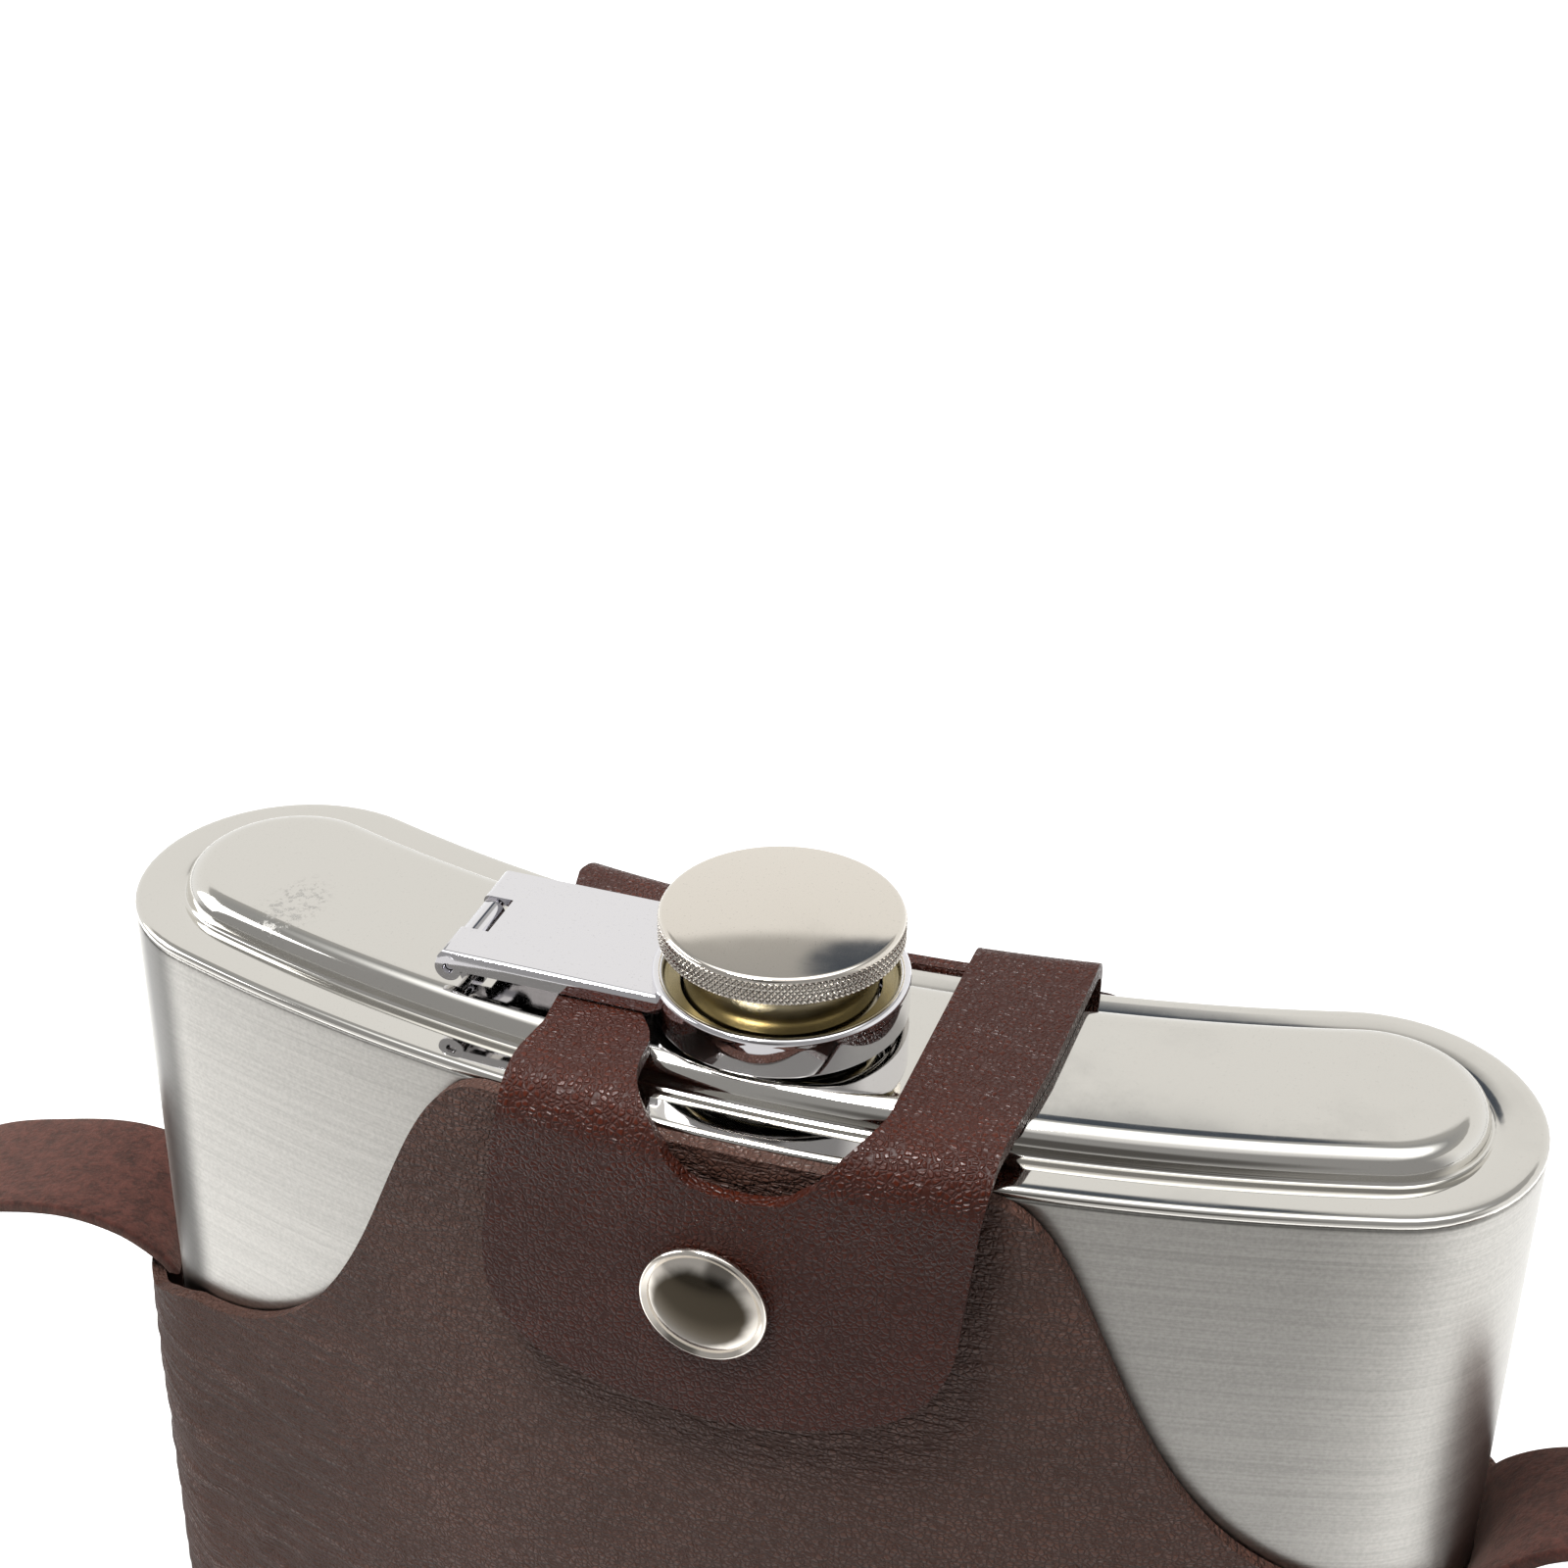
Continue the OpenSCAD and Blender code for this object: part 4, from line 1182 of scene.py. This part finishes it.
class CANTEEN_OT_sleeve(StepOperator):
    """Front panel of the leather sleeve, wrapped round the ends, and its base"""

    bl_idname = "canteen.sleeve"
    bl_label = "Sleeve"

    def make(self, context):
        sizes = context.scene.canteen_leather
        thick = sizes.thickness / MM
        bend, _, end_angle = flask()
        turn = end_angle + REACH / bend
        drop = sizes.rim_drop / MM
        end_drop = sizes.end_drop / MM
        lead = bezier((28, 0.8), (44, 0.8), (42, -50), (76, -drop), 60)
        lead += [(76, -drop), (81.5, -drop - 2.4), (86.2, -end_drop)]
        lead_x, lead_z = [p[0] for p in lead], [p[1] for p in lead]
        start = LOOP / 2 + ARC_STEPS * (turn + TAIL_ANGLE) / (2 * turn)
        stop = LOOP + LOOP / 2 + ARC_STEPS * (turn - TAIL_ANGLE) / (2 * turn)

        def rim(x, y):
            away = abs(x - 1.6)
            if y > 0 and away > 40:
                return -end_drop
            return 0.8 if away < 28 else float(np.interp(away, lead_x, lead_z))

        def place(u, v):
            k = start + (stop - start) * u
            x, y = kidney(k, FIT + thick / 2, TAIL_GAP + thick / 2, REACH)
            high = SEAM + rim(x, y)
            z = thick + (high - thick) * v
            spot = Vector((x * 0.05, k * 0.08, z * 0.05))
            puff = 0.25 * (0.5 + noise.noise(spot)) + self.folds(k, x, z)
            puff = max(0.0, puff)
            x, y = kidney(k, FIT + thick / 2 + puff, TAIL_GAP + thick / 2 + puff * 0.3,
                          REACH)
            return x, y, z
        panel = gridded(330, 110, place)
        closed_up(panel)
        modified(panel, "SOLIDIFY", thickness=sizes.thickness, offset=0, material_offset_rim=1)
        smoothed(panel, 55)
        finished(panel, "front_panel", "flask",
                 [sleeve_leather(), raw_leather()], ["sleeve_front"])
        base = rings([(0.5, 0.0), (0.12, 0.12), (0.0, 0.4), (0.0, thick - 0.4),
                      (0.12, thick - 0.12), (0.5, thick)],
                     FIT + thick, TAIL_GAP + thick, REACH)
        pick(base)
        bpy.ops.object.mode_set(mode="EDIT")
        bpy.ops.mesh.select_mode(type="EDGE")
        for z in (0.0, thick):
            bpy.ops.mesh.select_all(action="DESELECT")
            bm = bmesh.from_edit_mesh(base.data)
            for edge in bm.edges:
                if all(abs(v.co.z / MM - z) < 1e-3 for v in edge.verts):
                    edge.select_set(True)
            bmesh.update_edit_mesh(base.data)
            bpy.ops.mesh.edge_face_add()
        bpy.ops.mesh.select_mode(type="VERT")
        bpy.ops.object.mode_set(mode="OBJECT")
        closed_up(base)
        smoothed(base)
        finished(base, "sleeve_foot", "flask",
                 [sleeve_leather(), raw_leather()], ["sleeve_base"])
        paint(base, 1, lambda c, n: abs(n.z) < 0.8)

    def folds(self, k, x, z):
        """Wrinkles low on the left end"""
        if x > -38:
            return 0.0
        side = min(1.0, (-38 - x) / 25)
        low = max(0.0, 1 - abs(z - 78) / 42)
        wave = noise.noise(Vector((x * 0.09, k * 0.02, z * 0.21)))
        fine = noise.noise(Vector((x * 0.22, k * 0.05, z * 0.55)))
        return side * low * (0.9 * (0.35 - abs(wave)) + 0.3 * (0.3 - abs(fine)))


class CANTEEN_OT_flap(StepOperator):
    """Back panel that runs over the lid as two straps and down into the snapped flap"""

    bl_idname = "canteen.flap"
    bl_label = "Back panel and flap"

    low, fold_r, back_r = 4.3, 5.5, 3.6

    def make(self, context):
        sizes = context.scene.canteen_leather
        self.thick = sizes.thickness / MM
        self.bend, self.half, _ = flask()
        self.top = self.low + self.thick / 2
        self.tab_r = self.bend + self.half + 3.3 + self.thick / 2
        self.fold_c = self.tab_r - self.fold_r
        self.fold_z = self.top - self.fold_r
        self.back_c = self.bend - self.half - FIT - self.thick / 2 + self.back_r
        self.back_z = self.top - self.back_r
        self.rise = SEAM + self.back_z - self.thick
        self.over = self.rise + self.back_r * math.pi / 2
        self.fold = self.over + self.fold_c - self.back_c
        self.tab = self.fold + self.fold_r * math.pi / 2
        self.drop = sizes.rim_drop / MM
        flap = self.cut(self.outline(), self.hole())
        closed_up(flap)
        modified(flap, "SOLIDIFY", thickness=sizes.thickness, offset=0, material_offset_rim=1)
        smoothed(flap, 55)
        finished(flap, "back_and_flap", None,
                 [flap_leather(), raw_leather()],
                 ["sleeve_back", "flap_bridge", "flap_tab"])
        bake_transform(flap, "flask", "flap_tab", start=(0, -0.0163, SEAM * MM),
                 end=(0, -0.0213, SEAM * MM))

    def along(self, x, y):
        """Distance along the leather of a point in plan, over the lid or on a fold"""
        radius = math.hypot(x, self.bend - y)
        if radius > self.fold_c:
            return self.fold + self.fold_r * math.asin(
                min(1, (radius - self.fold_c) / self.fold_r))
        if radius < self.back_c:
            return self.over - self.back_r * math.asin(
                min(1, (self.back_c - radius) / self.back_r))
        return self.over + radius - self.back_c

    def down(self, z):
        return self.tab + self.fold_z - z

    def up(self, z):
        return self.rise - self.back_z + z

    def fine(self, points, pieces=6):
        return [
            (a[0] + (b[0] - a[0]) * i / pieces, a[1] + (b[1] - a[1]) * i / pieces)
            for a, b in zip(points, points[1:]) for i in range(pieces)
        ] + [points[-1]]

    def over_lid(self, points):
        """Plan points on the leather, up to the end of the front fold"""
        limit = self.fold_c + self.fold_r - 0.05
        inside = [(x, y) for x, y in self.fine(points) if math.hypot(x, self.bend - y) < limit]
        return [(x, self.along(x, y)) for x, y in inside]

    def outline(self):
        edge = math.sin(PANEL_ANGLE) * (self.bend - self.half - FIT - self.thick / 2)
        lead = bezier((31, 0), (44, 0), (42, -50), (76, -self.drop), 40)
        left = [(1.6 - x, self.up(z)) for x, z in lead if 1.6 - x > -edge]
        right = [(1.6 + x, self.up(z)) for x, z in lead if 1.6 + x < edge]
        path = [(-edge, 0), (-edge, left[-1][1])] + left[::-1] + [(-29.6, self.rise)]
        path += self.over_lid(
            [(-31, 18)] + bezier((-30, 14), (-27, 4), (-23, 0), (-22.5, -12), 6)
            + [(-22.5, -12), (-23.2, -18), (-24.2, -30)])
        tab_z = self.fold_z - 1.5
        tab = [(-24.2, tab_z)]
        tab += bezier((-26.2, -18), (-27, -30), (-19, -32.5), (-12, -33.6), 16)
        tab += bezier((-12, -33.6), (-3, -35), (5, -35), (12, -33.2), 16)
        tab += bezier((12, -33.2), (22, -31), (28.8, -27), (29.3, -15), 16)
        tab += [(29.3, -15), (30.6, tab_z)]
        path += [(x, self.down(z)) for x, z in tab]
        path += self.over_lid([(32.8, 18), (32.6, 0), (31.4, -18), (30.8, -30)])[::-1]
        path += [(32.6, self.rise)] + right + [(edge, right[-1][1]), (edge, 0)]
        return np.array(path)

    def hole(self):
        left = [(-16.3, 17), (-16, 4)] + bezier((-15.5, -2), (-13, -9), (-10, -8), (-9.8, -14), 6)
        left += bezier((-9.8, -15), (-9.3, -20), (-5, -24), (4.4, -25.6), 12)
        right = bezier((4.4, -25.6), (13.8, -24), (18.3, -20), (18.6, -15), 12)
        right += [(18.6, -15), (18.6, 4), (18.6, 17)]
        path = [(-14.5, self.rise), (-16.3, self.rise + 1.5)] + self.over_lid(left)
        dip = bezier((-1.3, -1.8), (1.4, -3.1), (7.4, -3.1), (10.1, -1.8), 10) + [(10.1, -1.8)]
        path += [(x, self.down(z)) for x, z in dip]
        path += self.over_lid(right) + [(18.6, self.rise + 1.5), (17, self.rise)]
        return np.array(path)

    def cut(self, outline, hole):
        """A grid in (across, along), cut to the outline, drawn to its edges and folded"""
        last = self.down(-35.2)
        coarse, fine, dense = 2.0, 0.6, 0.55
        sides = math.sin(PANEL_ANGLE) * (self.bend - self.half - FIT - self.thick / 2)
        xs = np.concatenate([
            np.linspace(-sides, -33, 13)[:-1], np.arange(-33, 34.5, fine),
            np.linspace(34.8, sides, 12),
        ])
        ss = np.concatenate([
            np.linspace(0, self.rise - 60, int((self.rise - 60) / 3)),
            np.arange(self.rise - 60 + coarse, self.rise - 6, 1.2),
            np.arange(self.rise - 6, last + dense, dense),
        ])
        pick_nothing()
        columns, rows = len(xs) - 1, len(ss) - 1
        bpy.ops.mesh.primitive_grid_add(x_subdivisions=columns, y_subdivisions=rows, size=2)
        piece = bpy.context.object
        bm = bmesh.new()
        bm.from_mesh(piece.data)
        flat = np.array([(v.co.x, v.co.y) for v in bm.verts])
        flat = np.stack([
            xs[np.rint((flat[:, 0] + 1) / 2 * columns).astype(int)],
            ss[np.rint((flat[:, 1] + 1) / 2 * rows).astype(int)],
        ], 1)
        keep = self.within(flat, outline, 0.02) & ~self.within(flat, hole, -0.02)
        for vert, (x, s) in zip(bm.verts, flat):
            vert.co = (x, s, 0)
        bm.verts.ensure_lookup_table()
        bmesh.ops.delete(
            bm, geom=[f for f in bm.faces if not all(keep[v.index] for v in f.verts)],
            context="FACES")
        bmesh.ops.delete(bm, geom=[v for v in bm.verts if not v.link_faces], context="VERTS")
        rim = [v for v in bm.verts if any(e.is_boundary for e in v.link_edges)]
        spots = np.array([(v.co.x, v.co.y) for v in rim])
        near = self.nearest(spots, [outline, hole])
        for vert, (x, s) in zip(rim, near):
            vert.co = (x, s, 0)
        fixed = set(rim)
        ring = {n for v in rim for e in v.link_edges for n in e.verts} - fixed
        ring |= {n for v in ring for e in v.link_edges for n in e.verts} - fixed
        for _ in range(4):
            for vert in sorted(ring, key=lambda v: v.index):
                around = [e.other_vert(vert).co for e in vert.link_edges]
                vert.co = vert.co.lerp(sum(around, Vector()) / len(around), 0.6)
        for vert in bm.verts:
            vert.co = at(*self.folded(vert.co.x, vert.co.y))
        bm.to_mesh(piece.data)
        bm.free()
        return piece

    def within(self, points, path, slack):
        inside = np.zeros(len(points), bool)
        x, y = points[:, 0], points[:, 1]
        for (ax, ay), (bx, by) in zip(path, np.roll(path, -1, 0)):
            crosses = (ay > y) != (by > y)
            with np.errstate(divide="ignore", invalid="ignore"):
                meets = (bx - ax) * (y - ay) / (by - ay) + ax
            inside ^= crosses & (x < meets)
        edge = np.hypot(*(points - self.nearest(points, [path])).T) < abs(slack)
        return inside | edge if slack > 0 else inside & ~edge

    def nearest(self, points, paths):
        best = np.full(len(points), np.inf)
        found = points.copy()
        for path in paths:
            for a, b in zip(path, np.roll(path, -1, 0)):
                step = b - a
                size = max(float(step @ step), 1e-12)
                t = np.clip(((points - a) @ step) / size, 0, 1)
                spot = a + t[:, None] * step
                gap = np.hypot(*(points - spot).T)
                closer = gap < best
                best[closer] = gap[closer]
                found[closer] = spot[closer]
        return found

    def folded(self, x, s):
        """Place of a point of the flat leather once it is bent over the flask"""
        if s < self.rise:
            radius, z = self.back_c - self.back_r, self.thick + s
        elif s < self.over:
            a = (s - self.rise) / self.back_r
            radius = self.back_c - self.back_r * math.cos(a)
            z = SEAM + self.back_z + self.back_r * math.sin(a)
        elif s < self.fold:
            radius, z = self.back_c + s - self.over, SEAM + self.top
        elif s < self.tab:
            a = (s - self.fold) / self.fold_r
            radius = self.fold_c + self.fold_r * math.sin(a)
            z = SEAM + self.fold_z + self.fold_r * math.cos(a)
        else:
            radius, z = self.tab_r, SEAM + self.fold_z - (s - self.tab)
        return (*polar(radius, math.asin(x / radius)), z)


class CANTEEN_OT_snap(StepOperator):
    """Domed snap on the flap, its socket and stud, and the strap's rivets"""

    bl_idname = "canteen.snap"
    bl_label = "Snap and rivets"

    def make(self, context):
        leather_sizes = context.scene.canteen_leather
        radius = leather_sizes.snap / MM
        face = 24.12
        dome = 2.3
        curve = ((radius - 0.6) ** 2 + dome**2) / (2 * dome)
        top = 0.62 + dome
        profile = []
        for i in range(15):
            r = (radius - 1.0) * i / 14
            profile.append((r, top - curve + math.sqrt(curve**2 - r * r)))
        profile += arc(radius - 0.62, 0.62, 0.62, 75, -90, 12)
        profile += [(1.6, 0.0), (1.6, -0.6), (0, -0.6)]
        snap = spun(profile, 96, open_ends=True)
        placed(snap, turned_to((0, -1, 0), (SNAP[0], -face, SNAP[1])))
        smoothed(snap, 50)
        finished(snap, "snap_dome", "flap_tab", [snap_nickel()], ["snap_cap"])
        for node in ("snap_socket", "snap_stud", "snap_eyelet"):
            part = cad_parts[node]
            part.data.materials.clear()
            part.data.materials.append(nickel())
        self.rivets()

    def rivets(self):
        bend, half, end_angle = flask()
        gaps = (FIT + TAIL_GAP) / 2 + bpy.context.scene.canteen_leather.thickness / MM
        middle = bend + (FIT - TAIL_GAP) / 2
        face = middle * math.sin(end_angle + REACH / bend) + half + gaps + 0.02
        inside = 85.1
        profile = [(0, inside), (2.4, inside), (2.6, inside + 0.15), (2.6, inside + 0.45),
                   (1.5, inside + 0.5), (1.5, face), (3.9, face), (4.1, face + 0.06),
                   (4.2, face + 0.25), (4.12, face + 0.55), (3.8, face + 0.85),
                   (3.1, face + 1.12), (2.0, face + 1.26), (0, face + 1.3)]
        made = []
        for side in (-1, 1):
            for z in RIVETS:
                rivet = spun(profile, 48, open_ends=True)
                placed(rivet, turned_to((side, 0, 0), (0, 12, z)))
                made.append(rivet)
        pick(made[0])
        for rivet in made[1:]:
            rivet.select_set(True)
        bpy.ops.object.join()
        rivets = bpy.context.object
        smoothed(rivets, 50)
        finished(rivets, "end_rivets", "flask", [nickel()], ["strap_rivets"])


class CANTEEN_OT_stitches(StepOperator):
    """Rows of stitches up the back and round the foot"""

    bl_idname = "canteen.stitches"
    bl_label = "Stitches"

    def make(self, context):
        long = context.scene.canteen_leather.stitch / MM
        thick = context.scene.canteen_leather.thickness / MM
        bend, half, end_angle = flask()
        rows = []
        radius = bend - half - TAIL_GAP - thick - 0.2
        z = 8.0
        while z <= SEAM - 56.5:
            for side in (-1, 1):
                angle = side * (TAIL_ANGLE + math.radians(1))
                rows.append((*polar(radius, angle), z, angle, False))
            z += 5
        self.sewn(rows, long, "back_seam_stitches", "back_stitches")
        rows = []
        outer = bend + half + FIT + thick
        inner = bend - half - TAIL_GAP - thick
        middle, tip = (outer + inner) / 2, (outer - inner) / 2 + 0.2
        turn = end_angle + REACH / bend
        for t in range(-13, 14):
            angle = math.radians(1.3 * t)
            rows.append((*polar(outer + 0.2, angle), 4, angle, True))
        for side in (-1, 1):
            x, y = polar(middle, side * turn)
            for t in range(-5, 6):
                out = side * (math.radians(13 * t) + turn) + side * math.pi / 2
                angle = side * (math.radians(13 * t) + turn + math.pi / 2)
                rows.append((x + tip * math.sin(angle), y - tip * math.cos(angle), 4, out, True))
        self.sewn(rows, long, "foot_stitches", "base_stitches")

    def sewn(self, rows, long, name, node):
        pick_nothing()
        bpy.ops.mesh.primitive_uv_sphere_add(segments=8, ring_count=6, radius=1)
        first = bpy.context.object
        for vert in first.data.vertices:
            pinch = 1 - 0.25 * vert.co.z**4
            vert.co = at(vert.co.x * 0.36 * pinch, vert.co.y * 0.3 * pinch,
                         vert.co.z * long / 2)
        made = [first]
        for _ in rows[1:]:
            pick(first)
            bpy.ops.object.duplicate()
            made.append(bpy.context.object)
        for stitch, (x, y, z, angle, level) in zip(made, rows):
            lie = Matrix.Rotation(math.pi / 2, 4, "Y") if level else Matrix.Identity(4)
            placed(stitch, Matrix.Translation(at(x, y, z)) @ Matrix.Rotation(angle, 4, "Z") @ lie)
        pick(made[0])
        for stitch in made[1:]:
            stitch.select_set(True)
        bpy.ops.object.join()
        seam = bpy.context.object
        smoothed(seam, 60)
        finished(seam, name, "flask", [thread()], [node])


STEPS = (
    CANTEEN_OT_stage, CANTEEN_OT_strap, CANTEEN_OT_wall, CANTEEN_OT_lid, CANTEEN_OT_cap,
    CANTEEN_OT_arm, CANTEEN_OT_sleeve, CANTEEN_OT_flap, CANTEEN_OT_snap, CANTEEN_OT_stitches,
)


class CANTEEN_PT_panel(bpy.types.Panel):
    """Sizes, colours and the steps of the build"""

    bl_idname = "CANTEEN_PT_panel"
    bl_label = "Canteen"
    bl_space_type = "VIEW_3D"
    bl_region_type = "UI"
    bl_category = "Canteen"

    def draw(self, context):
        for holder in ("canteen_flask", "canteen_leather", "canteen_colours"):
            sizes = getattr(context.scene, holder)
            box = self.layout.box()
            for key in sizes.__annotations__:
                box.prop(sizes, key)
        for step in STEPS:
            self.layout.operator(step.bl_idname)


HOLDERS = {
    "canteen_flask": CanteenFlask, "canteen_leather": CanteenLeather,
    "canteen_colours": CanteenColours,
}
CLASSES = (*HOLDERS.values(), *STEPS, CANTEEN_PT_panel)


def register():
    for cls in CLASSES:
        bpy.utils.register_class(cls)
    for name, cls in HOLDERS.items():
        setattr(bpy.types.Scene, name, PointerProperty(type=cls))


def unregister():
    for name in HOLDERS:
        delattr(bpy.types.Scene, name)
    for cls in reversed(CLASSES):
        bpy.utils.unregister_class(cls)


def main():
    register()
    for step in STEPS:
        getattr(bpy.ops.canteen, step.bl_idname.split(".")[1])()


if __name__ == "__main__":
    main()
